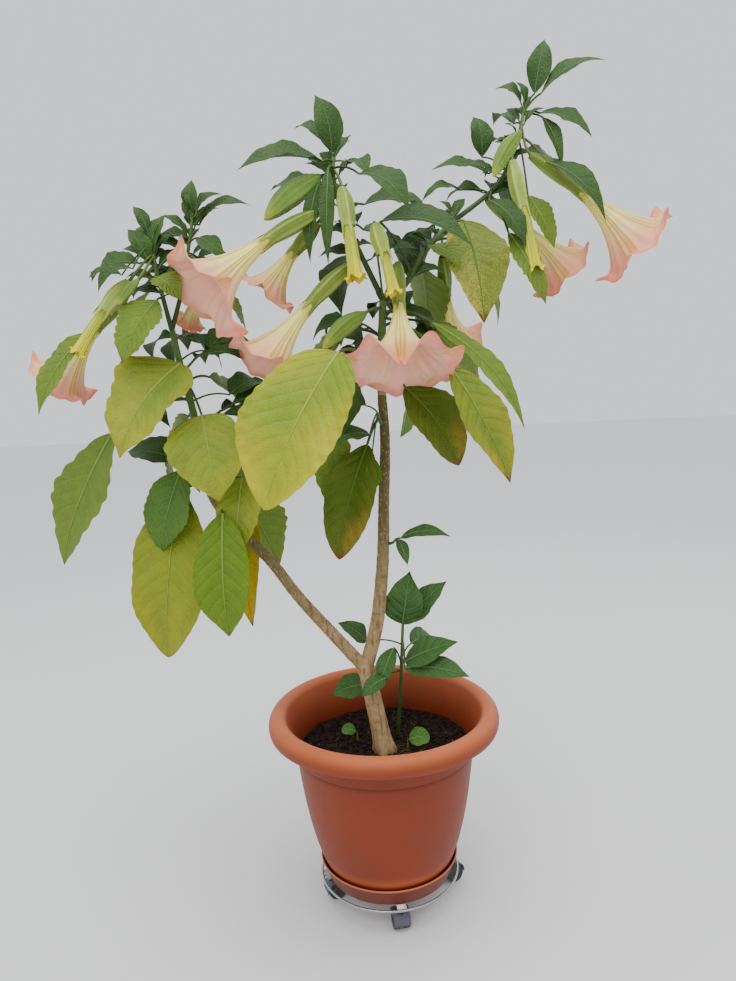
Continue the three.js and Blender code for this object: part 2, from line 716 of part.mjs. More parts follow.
// The wire ring, its crossed bars, and the bosses that the casters' stems turn in
function trolley() {
  const wire = new THREE.TorusGeometry(RING_RADIUS, WIRE_RADIUS, 5, 36).translate(0, 0, RING_HEIGHT);
  let frame = solid(wire);
  for (let i = 0; i < CASTERS / 2; i++) {
    const bar = new THREE.BoxGeometry(2 * RING_RADIUS, BAR_WIDTH, BAR_THICK)
      .translate(0, 0, BAR_TOP - BAR_THICK / 2)
      .rotateZ(casterBearing(i) * RADIAN);
    frame = frame.add(solid(bar));
  }
  const height = BAR_TOP - BAR_THICK / 2 - BOSS_FOOT;
  const depth = STEM_TOP + 0.5 - BOSS_FOOT;
  for (let i = 0; i < CASTERS; i++) {
    const { x, y } = swivelPoint(i);
    frame = frame.add(cylinder(BOSS_RADIUS, height, 8).translate([x, y, BOSS_FOOT + height / 2]));
    frame = frame.subtract(cylinder(STEM_BORE, 2 * depth, 10).translate([x, y, BOSS_FOOT]));
  }
  return frame;
}

// A slab across Y, from an outline in X and Z
function slab(points, half) {
  const outlineShape = new THREE.Shape(points.map(([x, z]) => new THREE.Vector2(x, z)));
  const geometry = new THREE.ExtrudeGeometry(outlineShape, { depth: 2 * half, bevelEnabled: false });
  return solid(geometry.rotateX(Math.PI / 2).translate(0, half, 0));
}

// A caster's hood with its web and stem, made with the swivel axis on Z and the wheels behind +X
function hood() {
  const arc = (radius, from, to) => {
    const points = [];
    for (let i = 0; i <= ARC_STEPS; i++) {
      const angle = lerp(from, to, i / ARC_STEPS) * RADIAN;
      points.push([TRAIL + radius * Math.cos(angle), WHEEL_RADIUS + radius * Math.sin(angle)]);
    }
    return points;
  };
  const shell = slab([...arc(HOOD_RADIUS, -5, 185), ...arc(HOOD_RADIUS - HOOD_WALL, 185, -5)], HOOD_HALF);
  const web = slab([...arc(HOOD_RADIUS - 1, 5, 175), ...arc(6, 180, 360)], WEB_HALF);
  const bore = cylinder(AXLE_BORE, 4 * WEB_HALF, 10).rotate([90, 0, 0]).translate([TRAIL, 0, WHEEL_RADIUS]);
  const foot = WHEEL_RADIUS + HOOD_RADIUS - 4;
  const pin = cylinder(STEM_RADIUS, STEM_TOP - foot, 8).translate([0, 0, (STEM_TOP + foot) / 2]);
  return shell.add(web).subtract(bore).add(pin);
}

// Both wheels on their axle, about the same point
function wheels() {
  const corner = WHEEL_RADIUS / Math.cos(Math.PI / WHEEL_SIDES);
  const width = WHEEL_OUTER - WHEEL_INNER;
  const middle = (WHEEL_OUTER + WHEEL_INNER) / 2;
  const disc = () => cylinder(corner, width, WHEEL_SIDES)
    .rotate([0, 0, 180 / WHEEL_SIDES])
    .rotate([90, 0, 0]);
  const axle = cylinder(AXLE_RADIUS, 2 * WHEEL_INNER + 2, 8).rotate([90, 0, 0]);
  return axle.add(disc().translate([0, middle, 0])).add(disc().translate([0, -middle, 0]))
    .translate([TRAIL, 0, WHEEL_RADIUS]);
}

// Which way each caster trails, degrees from +X
const CASTER_TRAILS = [100, 35, -60, 20];

function placeCaster(made, index) {
  const { x, y } = swivelPoint(index);
  return made.rotate([0, 0, CASTER_TRAILS[index]]).translate([x, y, 0]);
}

const plant = new THREE.Group();
plant.add(mesh('pot', pot(), COLOURS.pot));
plant.add(mesh('soil', soil(), COLOURS.soil));
plant.add(mesh('saucer', saucer(), COLOURS.saucer));
plant.add(mesh('ring_trolley', trolley(), COLOURS.ring));
for (let i = 0; i < CASTERS; i++) {
  plant.add(mesh(`caster_${i + 1}`, placeCaster(hood(), i), COLOURS.caster));
  plant.add(mesh(`wheels_${i + 1}`, placeCaster(wheels(), i), COLOURS.caster));
}
plant.add(mesh('trunk', trunk(), COLOURS.bark));
for (const shoot of SHOOTS) {
  if (shoot.bough) {
    const end = shoot.bare * track(shoot.points).length;
    plant.add(mesh(shoot.bough, stem(shoot, STUB + CLEAR, end), COLOURS.bark));
  }
  plant.add(mesh(shoot.name, foliage(shoot), COLOURS.foliage));
}
for (const twig of SIDE_TWIGS) plant.add(mesh(twig.name, sideTwig(twig), COLOURS.foliage));
plant.add(mesh(FOOT_SHOOT.name, footShoot(), COLOURS.foliage));
for (const one of SPROUTS) plant.add(mesh(one.name, sprout(one), COLOURS.foliage));

// The origin: on the floor, under the middle of the whole
const middle = new THREE.Box3().setFromObject(plant, true).getCenter(new THREE.Vector3());
plant.position.set(-middle.x, -middle.y, 0);

export default plant;
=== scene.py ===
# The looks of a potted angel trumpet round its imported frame: bark, stems, leaves, blooms, pot,
# soil, saucer, ring trolley and casters. Everything is worked out in millimetres round the pot's
# axis, as in the part's source, and each mesh is then set in metres in the frame.
import math
import random

import bpy
import numpy as np
from mathutils import Matrix, Vector, noise


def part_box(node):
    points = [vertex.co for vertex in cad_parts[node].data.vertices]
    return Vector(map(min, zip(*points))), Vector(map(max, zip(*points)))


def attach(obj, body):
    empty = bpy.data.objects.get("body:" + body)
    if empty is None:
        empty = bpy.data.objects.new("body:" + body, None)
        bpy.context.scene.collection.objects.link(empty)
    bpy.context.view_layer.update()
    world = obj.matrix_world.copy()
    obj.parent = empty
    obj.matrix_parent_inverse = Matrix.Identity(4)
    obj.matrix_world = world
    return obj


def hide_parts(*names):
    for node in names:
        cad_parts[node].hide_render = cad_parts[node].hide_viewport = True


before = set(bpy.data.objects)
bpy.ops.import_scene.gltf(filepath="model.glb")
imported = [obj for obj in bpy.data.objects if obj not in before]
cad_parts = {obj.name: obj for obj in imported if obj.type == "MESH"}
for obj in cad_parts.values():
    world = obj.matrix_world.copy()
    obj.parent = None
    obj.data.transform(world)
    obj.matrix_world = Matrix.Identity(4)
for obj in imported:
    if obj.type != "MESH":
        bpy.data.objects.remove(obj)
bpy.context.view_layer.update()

MM = 0.001
SEED = 20
GOLDEN_TURN = 137.5  # degrees from one leaf to the next round a shoot
POT_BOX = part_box("pot")
AXIS = np.array([(POT_BOX[0].x + POT_BOX[1].x) / 2, (POT_BOX[0].y + POT_BOX[1].y) / 2, 0.0])

# Casters and ring trolley
CASTERS = 4
CASTER_BEARING = -82
CASTER_TRAILS = [100, 35, -60, 20]
SWIVEL_RADIUS = 108
TRAIL = 9
WHEEL_RADIUS = 16
WHEEL_INNER = 3.2
WHEEL_OUTER = 13.5
HOOD_RADIUS = 19
HOOD_WALL = 2
HOOD_HALF = 14.5
WEB_HALF = 2.5
RING_RADIUS = 121.5
WIRE_RADIUS = 2.3
RING_HEIGHT = 46
BAR_WIDTH = 16
BAR_TOP = 47.7
BAR_THICK = 2.5
BOSS_RADIUS = 7
BOSS_FOOT = 36
STEM_RADIUS = 3
STEM_TOP = 43.5

# Saucer, pot and soil
SAUCER_FOOT = 48
SAUCER_FOOT_RADIUS = 109
SAUCER_RIM_RADIUS = 122
SAUCER_TOP = 82
SAUCER_WALL = 2.4
POT_FOOT = 50.7
POT_WALL = 3
POT_FOOT_RADIUS = 100
POT_BELLY = (139, 108)
STEP_RADIUS = 155
STEP_HEIGHT = 281
STEP_OUT = 2.5
NECK_RADIUS = 163
NECK_HEIGHT = 319
ROLL_CENTRE = (184, 331)
ROLL_HALF_WIDTH = 16.5
ROLL_HALF_HEIGHT = 20
ROLL_START = 160
ROLL_END = -27
SOIL_HEIGHT = 280
SOIL_RADIUS = 151.5
SOIL_RELIEF = [(3.2, 34), (2.0, 9), (1.4, 3.5)]  # height and width of its swells, lumps and grains
CRUMBS = 1500
PALE_CHIPS = 0.1  # share of the crumbs that are pale chips
FIBRES = 90
FIBRE_MIDDLE = (45, -52)
FIBRE_SPREAD = (26, 22)

# Trunk and limbs
FORK = [-27, -15, 425]
TRUNK = {"points": [[0, -23, 272], [-12, -20, 345], [-28, -15, 431]], "radius": [16, 14]}
ROOT_FLARE = 4
FLARE_HEIGHT = 14
STUB = 35  # a mass's own stem carries no leaf nearer its foot than this
WOODY_SHARE = 0.9  # how far a green stem takes the colour of bark where it leaves the wood
AXIL_TWIGS = 6
YOUNG_LEAVES = 18
SCARS = [  # height and bearing of each leaf scar
    (470, 40), (520, -120), (585, -70), (640, 150), (700, -100), (748, 20), (800, -60), (850, 170),
]

# Leaves
LIGHT = np.array([0, -0.62, 0.78])  # the blades turn their upper sides this way
STALK_BOW = 0.1
BLADE_BOW = 0.09
BLADE_FOLD = 0.2
VEIN_SWEEP = 0.85  # how far a side vein runs towards the tip, by the blade's half width
VEIN_CURVE = 1.3
VEIN_SHIFT = 0.02
VEIN_STRENGTH = 0.32
LEAF_SPECULAR = 0.22
SMALL_BLADE = 90
SLIM = 0.48  # width by length of the leaves that the rule adds
SLIM_YOUNG = 0.46
MOST_FORWARD = -0.55  # the sine past which a leaf of the rule is turned to the back

# Blooms
LOBES = 5
LOBE_TIPS = [(2 * lobe + 1) * math.pi / LOBES for lobe in range(LOBES)]
CALYX = 12
THROAT = 9
LOBE_BACK = 0.055
RIB_WIDTH = 0.042
BLOOM_BOW = 0.05  # how far a level bloom bows upwards, by its length
SLENDER_MOUTH = 60
YOUNG_WIDTH = 45  # widest mouth of a bloom that is still yellow
STAMENS = 5

# Meshes and colours
BARK_VOXEL = 0.0014
POINTED = 0.05  # radius of a tube's closed tip
ON_AXIS = 0.1  # radius at which a turned piece or a limb is closed
CAP = 0.02  # size of the drawn-in end of a capped piece, by its full size
VIVID = 1.16  # the screen's view greys strong colours, so each is set stronger by this
DIM = 0.8  # the light is set for the pale petals, so all other colours are darker by this

# A row of leaves: place on the shoot, stalk, its bearing and rise, blade length, width, bearing
# and rise, and its look where it isn't dark. A row of blooms: the same with the mouth's width for
# the blade's.
SHOOTS = [
    {
        "name": "foliage_left",
        "bare": 0.57,
        "points": [
            FORK, [-69, -25, 479], [-131, -45, 564], [-174, -60, 633], [-245, -80, 725],
            [-262, -90, 787], [-272, -95, 880], [-283, -100, 941], [-293, -100, 1004],
        ],
        "radius": [11, 4.5],
        "leaves": [
            [0.8, 30, -75, 5, 165, 125, -145, -50, "citron"],
            [0.62, 140, 170, -20, 225, 95, -168, -64, "mid"],
            [0.4, 60, 140, -35, 100, 60, 163, 10],
            [0.3, 45, -125, -20, 130, 75, -155, -70, "deep"],
            [0.16, 45, -150, -10, 265, 115, -148, -80, "moss"],
            [0.05, 77, -70, -7, 190, 84, -117, -87, "spring"],
            [0.1, 75, -35, 20, 125, 66, -125, -75, "citron"],
            [0.72, 80, -57, -40, 130, 110, -54, -73, "citron"],
            [0.07, 84, 42, -22, 205, 42, 165, -84, "amber"],
            [0.6, 65, 35, 8, 80, 55, 52, 14],
            [0.82, 55, 52, 18, 70, 42, 40, 20],
            [0.25, 60, 80, 10, 170, 90, 75, -55, "mid"],
            [0.5, 70, 110, 5, 185, 95, 120, -50, "mid"],
            [0.7, 60, 65, 10, 150, 80, 65, -40, "mid"],
            [0.12, 60, 55, 0, 175, 85, 45, -62, "mid"],
        ],
        "blooms": [],
    },
    {
        "name": "foliage_left_outer",
        "points": [[-293, -100, 1000], [-303, -105, 1059], [-312, -110, 1130]],
        "radius": [3.8, 2.5],
        "leaves": [
            [0.1, 31, -93, -5, 105, 74, -150, -55, "mid"],
            [0.4, 127, -169, -35, 142, 48, -163, -54, "mid"],
            [0.9, 60, -173, -41, 50, 26, -173, -4],
            [0.95, 49, -138, -51, 62, 32, -155, -33],
            [0.98, 30, -179, -79, 56, 30, 180, 62],
            [0.98, 24, 127, -75, 70, 32, 11, 66],
            [0.6, 26, -82, -42, 60, 40, -29, -38, "mid"],
            [0.3, 40, 118, 10, 120, 56, 122, -35, "mid"],
            [0.6, 35, 150, 15, 100, 48, 155, -10],
            [0.85, 20, 100, 20, 70, 34, 100, 25],
        ],
        "blooms": [
            [0.6, 53, -179, -35, 194, 106, 165, -45],
            [0.8, 56, -146, -47, 136, 26, -166, -52],
            [0.75, 50, -115, -45, 48, 0, -156, -49],
        ],
    },
    {
        "name": "foliage_left_inner",
        "points": [[-293, -100, 1000], [-277, -85, 1060], [-264, -80, 1119], [-253, -80, 1169]],
        "radius": [3.8, 2.2],
        "leaves": [
            [0.98, 6, -170, 70, 50, 24, 60, 82],
            [0.95, 13, -53, 10, 52, 26, -8, 34],
            [0.9, 14, -25, -10, 84, 32, -4, 18],
            [0.8, 12, 110, -23, 60, 30, 169, -3],
            [0.7, 23, -43, 13, 60, 34, -22, -41],
            [0.6, 23, 64, -8, 60, 34, 34, -2],
            [0.3, 40, 60, 5, 120, 56, 50, -40, "mid"],
            [0.55, 35, 92, 10, 95, 46, 88, -20],
        ],
        "blooms": [[0.3, 38, 49, -10, 75, 50, 132, -42]],
    },
    {
        "name": "foliage_middle",
        "bare": 0.75,
        "points": [
            FORK, [-4, -5, 505], [10, 0, 611], [16, 0, 714], [22, 0, 815], [20, 0, 890],
            [22, 0, 960], [28, 0, 1046],
        ],
        "radius": [12.5, 6],
        "leaves": [
            [0.2, 179, -111, 11, 248, 155, -153, -58, "lime"],
            [0.85, 90, -28, -15, 225, 42, -8, -49, "mid"],
            [0.8, 160, -43, -33, 200, 76, -13, -63, "olive"],
            [0.45, 90, -61, -41, 150, 88, -14, -56, "bronze"],
            [0.5, 85, -132, -38, 95, 55, -160, -72],
            [0.2, 110, 188, -25, 180, 66, -20, -86, "mid"],
            [0.35, 80, 75, 5, 190, 95, 80, -50, "spring"],
            [0.6, 80, 140, 10, 200, 100, 135, -45, "mid"],
            [0.7, 90, 35, 5, 185, 90, 30, -48, "mid"],
        ],
        "blooms": [
            [0.95, 67, -45, 58, 197, 180, -93, -62, "tongue"],
            [0.98, 130, -97, 52, 114, 28, -25, -76],
            [0.9, 50, -125, -12, 97, 0, -150, -35],
        ],
    },
    {
        "name": "foliage_top_left",
        "points": [[28, 0, 1042], [-18, -10, 1144], [-40, -20, 1211], [-42, -20, 1263]],
        "radius": [5, 3],
        "leaves": [
            [0.98, 10, 180, 80, 85, 48, -155, 74],
            [0.95, 26, -129, -10, 136, 56, -158, -7],
            [0.99, 33, 148, 55, 60, 30, 149, 30],
            [0.9, 31, -103, -14, 150, 24, -104, -80],
            [0.9, 60, -46, -20, 110, 55, -34, -36],
            [0.95, 27, 0, -8, 62, 38, -60, -30],
            [0.85, 36, -125, -20, 130, 24, -140, -77],
        ],
        "fill": {
            "count": 6, "from": 0.35, "to": 0.95, "turn": 100, "long": [150, 70],
            "rise": [-35, 35], "stalk": [55, 15],
        },
        "blooms": [
            [0.78, 68, -122, -46, 244, 150, -149, -34],
            [0.7, 51, 163, -48, 146, 104, 173, -50],
            [0.85, 29, -136, -11, 118, 0, -154, -37],
            [0.45, 74, -90, -60, 226, 132, -156, -46],
            [0.9, 58, -72, -43, 148, 34, -56, -79],
        ],
    },
    {
        "name": "foliage_right",
        "points": [[28, 0, 1042], [66, 5, 1068], [104, 20, 1124], [152, 35, 1169]],
        "radius": [5.8, 4.5],
        "leaves": [
            [0.2, 105, -131, 43, 150, 62, -14, -18],
            [0.85, 40, -48, 9, 172, 96, -65, -71, "gold"],
            [0.5, 42, -86, 0, 70, 40, -39, -35, "mid"],
            [0.3, 70, 80, 10, 190, 90, 82, -45, "mid"],
            [0.6, 70, 45, 10, 180, 88, 40, -50, "mid"],
            [0.85, 60, 110, 15, 150, 75, 100, -35],
        ],
        "blooms": [[0.8, 60, 85, -30, 215, 140, 80, -45]],
    },
    {
        "name": "foliage_right_tip",
        "points": [[152, 35, 1169], [228, 48, 1228], [262, 58, 1300], [276, 62, 1350]],
        "radius": [4.3, 2.6],
        "leaves": [
            [0.98, 28, -6, 53, 92, 40, 27, 76],
            [0.95, 38, -24, 40, 112, 38, -11, 23],
            [0.95, 29, -37, -15, 98, 44, -24, -31],
            [0.93, 36, -39, -19, 98, 24, -50, -66],
            [0.75, 76, -48, -45, 140, 46, -24, -46],
            [0.95, 15, -156, 70, 50, 34, 180, 31],
            [0.75, 106, -74, -73, 98, 42, -27, -63, "mid"],
            [0.25, 36, -116, -40, 103, 46, -29, -53],
            [0.2, 81, -53, -60, 132, 48, -20, -63, "mid"],
            [0.45, 54, 142, 33, 72, 40, 140, 78],
            [0.5, 36, 152, -15, 99, 38, -174, 5],
            [0.2, 50, 159, 13, 71, 26, -172, -14],
            [0.4, 40, 80, 10, 120, 56, 75, -35],
            [0.6, 35, 40, 15, 110, 50, 35, -20],
            [0.85, 25, 110, 20, 85, 38, 105, 20],
        ],
        "blooms": [
            [0.85, 66, -78, -60, 246, 150, 2, -41],
            [0.35, 37, 177, -51, 196, 122, 20, -38],
            [0.8, 74, -118, -52, 189, 38, -33, -79],
            [0.95, 43, -116, -56, 92, 0, -157, -54],
        ],
    },
]
SIDE_TWIGS = [
    {
        "name": "foliage_stem",
        "height": 845,
        "turn": -110,
        "rise": 35,
        "long": 34,
        "radius": [3.4, 2.6],
        "leaves": [
            [0.6, 48, -144, -58, 194, 84, -160, -72, "bronze"],
            [0.9, 40, -130, -58, 66, 34, -165, -8, "fresh"],
            [0.95, 20, 170, 30, 60, 36, 150, 10],
            [0.8, 72, -125, -72, 52, 24, -70, -78, "spring"],
        ],
    },
    {
        "name": "foliage_stem_low",
        "height": 640,
        "turn": -30,
        "rise": 30,
        "long": 22,
        "radius": [2.6, 2],
        "leaves": [
            [0.8, 8, -25, 15, 85, 26, -10, 3, "fresh"],
            [0.9, 6, -80, 0, 48, 20, -60, -55, "fresh"],
        ],
    },
]
FOOT_SHOOT = {
    "name": "shoot_foot",
    "points": [[25, 32, 275], [34, 34, 380], [44, 38, 520]],
    "radius": [4, 2.4],
    "leaves": [
        [0.85, 14, -30, 30, 100, 48, -10, 48, "fresh"],
        [0.75, 51, -88, -35, 105, 52, -22, 27, "fresh"],
        [0.6, 55, -87, 3, 113, 46, -21, -1, "fresh"],
        [0.5, 87, -110, 14, 52, 30, -158, -28, "fresh"],
        [0.85, 12, -95, 20, 102, 68, -55, 76, "fresh"],
        [0.5, 62, -175, -20, 70, 48, -172, -9, "fresh"],
        [0.6, 40, 60, 20, 90, 46, 55, -10, "fresh"],
        [0.55, 67, -107, 46, 75, 32, -134, -56, "fresh"],
        [0.7, 65, 172, 4, 63, 36, -174, 40, "fresh"],
    ],
}
SPROUTS = [
    {"name": "sprout_right", "foot": [40, -20], "turn": 0, "blade": [36, 34]},
    {"name": "sprout_left", "foot": [-48, 18], "turn": 170, "blade": [26, 22]},
]
SPROUT_HEIGHT = 14
SHOOT = {shoot["name"]: shoot for shoot in SHOOTS}
UPRIGHT = SHOOT["foliage_middle"]


# Numbers and vectors
def srgb(red, green, blue):
    """A colour as the screen shows it, 0 to 255, as linear light, made more vivid."""
    scaled = np.array([red, green, blue]) / 255
    light = np.where(scaled <= 0.04045, scaled / 12.92, ((scaled + 0.055) / 1.055) ** 2.4)
    grey = light.mean()
    return np.maximum(grey + (light - grey) * VIVID, 0.002) * DIM


def petal(red, green, blue):
    """A petal's colour, which keeps its full brightness."""
    return np.minimum(srgb(red, green, blue) / DIM, 0.94)


def unit(vectors):
    return vectors / np.linalg.norm(vectors, axis=-1, keepdims=True)


def heading(turn, rise):
    """The direction of a bearing and a rise in degrees."""
    turn, rise = math.radians(turn), math.radians(rise)
    return np.array([math.cos(rise) * math.cos(turn), math.cos(rise) * math.sin(turn), math.sin(rise)])


def lerp(a, b, share):
    return a + (b - a) * share


def smooth(low, high, values):
    share = np.clip((values - low) / (high - low), 0, 1)
    return share * share * (3 - 2 * share)


def mix(first, second, share):
    """Two colours mixed by a share at each point."""
    share = np.asarray(share)[..., None]
    return first * (1 - share) + second * share


def ripple(chance, u, v, scale):
    """A smooth uneven pattern over two coordinates, from -1 to 1."""
    total = 0
    for _ in range(5):
        a, b = chance.uniform(-scale, scale), chance.uniform(-scale, scale)
        total = total + np.sin(a * u + b * v + chance.uniform(0, 6.28))
    return total / 5


def uneven(shade, depth, chance, u, v, scale):
    """Colours made unevenly lighter and darker."""
    return shade * (1 + depth * ripple(chance, u, v, scale)[..., None])


def noise_at(points, scale):
    """Smooth noise at each point. The scale is one number, or one for each axis."""
    return np.array([noise.noise(Vector(point)) for point in points * scale])


def circle(count):
    """The angles of some points round a circle."""
    return 2 * np.pi * np.arange(count) / count


def sheet(first, last, rows, columns):
    """The way along a skin, from first to last, and the angle round it, at each point of a grid."""
    return np.meshgrid(np.linspace(first, last, rows), circle(columns), indexing="ij")


def bezier(corners, count):
    """Points along a curve from its first corner to its last one, drawn towards the others."""
    t = np.linspace(0, 1, count)[:, None]
    rows = [np.array(corner, float) for corner in corners]
    while len(rows) > 1:
        rows = [lerp(a, b, t) for a, b in zip(rows, rows[1:])]
    return rows[0]


# Colours of the plant
DARK_LEAF = "dark"
STEM_GREEN = srgb(58, 80, 40)
STEM_TIP = srgb(92, 118, 60)
STALK_GREEN = srgb(112, 130, 58)
BROWN = srgb(128, 84, 44)
STRAW = srgb(196, 166, 72)
SCORCH = srgb(150, 128, 58)
SHADED_GOLD = srgb(110, 128, 56)
GOLD_NET = srgb(88, 112, 44)
BARK_LIGHT = srgb(184, 158, 122)
BARK_DARK = srgb(150, 125, 92)
BARK_GREEN = srgb(101, 94, 60)
BARK_STREAK = srgb(98, 82, 56)
BARK_DOT = srgb(206, 186, 148)
BARK_WART = srgb(200, 178, 138)


class Look:
    """How a leaf looks: its colours from midrib to margin, its outline and its margin."""

    def __init__(self, middle, margin, turned, vein, full, point, scallops, depth, pairs=9, quilt=1.0):
        self.middle, self.margin, self.vein = srgb(*middle), srgb(*margin), srgb(*vein)
        self.turned, self.full, self.point = turned, full, point
        self.scallops, self.depth, self.pairs, self.quilt = scallops, depth, pairs, quilt


LOOKS = {
    "dark": Look((59, 87, 44), (84, 110, 54), 0.35, (96, 124, 74), 0.85, 1.2, 7, 0.018, 7, 0.3),
    "deep": Look((76, 108, 48), (96, 122, 50), 0.35, (108, 136, 74), 0.72, 0.95, 11, 0.03, 9, 0.6),
    "mid": Look((106, 132, 58), (140, 150, 60), 0.5, (136, 158, 86), 0.75, 1.0, 9, 0.1, 9, 0.7),
    "spring": Look((100, 132, 44), (128, 148, 48), 0.4, (134, 160, 76), 0.7, 0.85, 13, 0.015),
    "lime": Look((126, 148, 54), (196, 188, 74), 0.95, (176, 184, 96), 0.6, 0.72, 12, 0.01, 10, 0.8),
    "citron": Look((124, 148, 62), (180, 178, 70), 0.9, (160, 174, 92), 0.5, 0.9, 7, 0.06, 8, 0.7),
    "moss": Look((128, 142, 54), (160, 156, 56), 0.7, (156, 164, 80), 0.66, 0.76, 14, 0.012, 10),
    "olive": Look((104, 128, 46), (172, 160, 66), 0.8, (138, 154, 76), 0.75, 1.0, 10, 0.03),
    "bronze": Look((78, 98, 30), (112, 118, 44), 0.6, (98, 120, 50), 0.7, 0.8, 9, 0.025, 8),
    "gold": Look((124, 140, 64), (204, 194, 100), 1.0, (96, 120, 54), 0.66, 0.95, 9, 0.035, 9, 0.6),
    "amber": Look((176, 158, 44), (190, 150, 44), 0.8, (156, 150, 54), 0.75, 0.9, 8, 0.03),
    "sprig": Look((84, 128, 60), (104, 146, 72), 0.5, (130, 166, 96), 0.5, 0.5, 7, 0.03, 5, 0.8),
    "fresh": Look((70, 104, 58), (86, 122, 62), 0.4, (112, 146, 92), 0.72, 1.0, 6, 0.03, 6),
}


# Meshes
class Pile:
    """Meshes of one kind, joined, with a colour at each point."""

    def __init__(self):
        self.points, self.quads, self.colours, self.places = [], [], [], []
        self.count = 0

    def add(self, points, quads, colours, places=None):
        """Adds a mesh, with one colour for all, for each row of points or for each point.

        The places say where each point lies on its own blade.
        """
        points = points.reshape(-1, 3)
        colours = np.asarray(colours).reshape(-1, 3)
        self.points.append(points)
        self.quads.append(quads + self.count)
        self.colours.append(np.repeat(colours, len(points) // len(colours), 0))
        if places is not None:
            self.places.append(places.reshape(-1, 3))
        self.count += len(points)


def grid(rows, columns, closed=False, looped=False):
    """The quads of a grid of points, row by row.

    A closed grid joins each row end to end, and a looped one its last row to its first.
    """
    i, j = np.meshgrid(
        np.arange(rows if looped else rows - 1),
        np.arange(columns if closed else columns - 1), indexing="ij"
    )
    k = (j + 1) % columns
    after = (i + 1) % rows
    corners = [i * columns + j, i * columns + k, after * columns + k, after * columns + j]
    return np.stack(corners, -1).reshape(-1, 4)


def put(name, data):
    """A new object in the scene."""
    obj = bpy.data.objects.new(name, data)
    bpy.context.scene.collection.objects.link(obj)
    return obj


def paint(mesh, colours):
    """A colour at each point of a mesh, which its material reads."""
    shade = mesh.color_attributes.new("shade", "FLOAT_COLOR", "POINT")
    shade.data.foreach_set("color", np.column_stack([colours, np.ones(len(colours))]).ravel())


def piece(name, pile, skin, nodes=(), body="planter"):
    """A pile as an object that rides on a body and stands for CAD nodes."""
    points = np.concatenate(pile.points) * MM + AXIS
    quads = np.concatenate(pile.quads)
    mesh = bpy.data.meshes.new(name)
    mesh.vertices.add(len(points))
    mesh.vertices.foreach_set("co", points.ravel())
    mesh.loops.add(quads.size)
    mesh.loops.foreach_set("vertex_index", quads.ravel().astype(np.int32))
    mesh.polygons.add(len(quads))
    mesh.polygons.foreach_set("loop_start", np.arange(len(quads), dtype=np.int32) * 4)
    mesh.update(calc_edges=True)
    mesh.validate()
    paint(mesh, np.concatenate(pile.colours))
    if pile.places:
        blades = mesh.attributes.new("blade", "FLOAT_VECTOR", "POINT")
        blades.data.foreach_set("vector", np.concatenate(pile.places).ravel())
    mesh.shade_smooth()
    mesh.materials.append(skin.material)
    obj = put(name, mesh)
    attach(obj, body)
    if nodes:
        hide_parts(*nodes)
    return obj


class Track:
    """A smooth line through points, measured along its length."""

    STEPS = 12

    def __init__(self, points):
        knots = np.array(points, float)
        last = len(knots) - 1
        samples = []
        for i in range(last):
            before, after = knots[max(i - 1, 0)], knots[min(i + 2, last)]
            for step in range(self.STEPS):
                u = step / self.STEPS
                samples.append((
                    before * (-u + 2 * u**2 - u**3)
                    + knots[i] * (2 - 5 * u**2 + 3 * u**3)
                    + knots[i + 1] * (u + 4 * u**2 - 3 * u**3)
                    + after * (u**3 - u**2)
                ) / 2)
        samples.append(knots[last])
        self.samples = np.array(samples)
        steps = np.linalg.norm(np.diff(self.samples, axis=0), axis=1)
        self.reach = np.concatenate([[0], np.cumsum(steps)])
        self.length = self.reach[-1]

    def at(self, distances):
        return np.stack([np.interp(distances, self.reach, self.samples[:, k]) for k in range(3)], -1)


def frames(centres):
    """Two directions across a line of points, carried along it without twist."""
    along = unit(np.gradient(centres, axis=0))
    across = np.array([0.0, 1.0, 0.0])
    sides = []
    for direction in along:
        across = unit(across - across.dot(direction) * direction)
        sides.append(across)
    sides = np.array(sides)
    return sides, np.cross(along, sides)


def tube(pile, centres, radii, sides, colours, closed_tip=False):
    """A tube round a line of points. The radii may differ round each ring too."""
    across, aside = frames(centres)
    radii = np.asarray(radii, float)
    if radii.ndim == 1:
        radii = radii[:, None]
    radii = np.broadcast_to(radii, (len(centres), sides)).copy()
    if closed_tip:
        radii[-1] = POINTED
    angles = circle(sides)
    rings = (
        centres[:, None]
        + (radii * np.cos(angles))[..., None] * across[:, None]
        + (radii * np.sin(angles))[..., None] * aside[:, None]
    )
    pile.add(rings, grid(len(centres), sides, True), colours)


ABOUT_Z, ABOUT_Y, MIRRORED = (0, 1, 2), (0, 2, 1), (1, 0, 2)


def turned(profile, segments, order=ABOUT_Z):
    """A profile of radius and height turned about an axis, as rings and their quads.

    The order says which of cosine, sine and height lies along X, Y and Z.
    """
    profile = np.array(profile, float)
    angles = circle(segments)
    radius, height = profile[:, :1], np.repeat(profile[:, 1:], segments, 1)
    rings = [radius * np.cos(angles), radius * np.sin(angles), height]
    return np.stack([rings[k] for k in order], -1), grid(len(profile), segments, True)


def capped(loop, centre, stations):
    """The corners of a loop at each station, with the loop drawn in to its centre at both ends.

    Each point is the loop's own two coordinates and the station.
    """
    stations = [stations[0], *stations, stations[-1]]
    sizes = [CAP, *[1] * (len(stations) - 2), CAP]
    return np.array([
        [*(centre + (corner - centre) * size), station]
        for station, size in zip(stations, sizes) for corner in np.array(loop)
    ])


STEMS, STALKS, VEINS, BLOOMS, LININGS, SHEATHS = Pile(), Pile(), Pile(), Pile(), Pile(), Pile()
LEAVES = {look: Pile() for look in LOOKS}


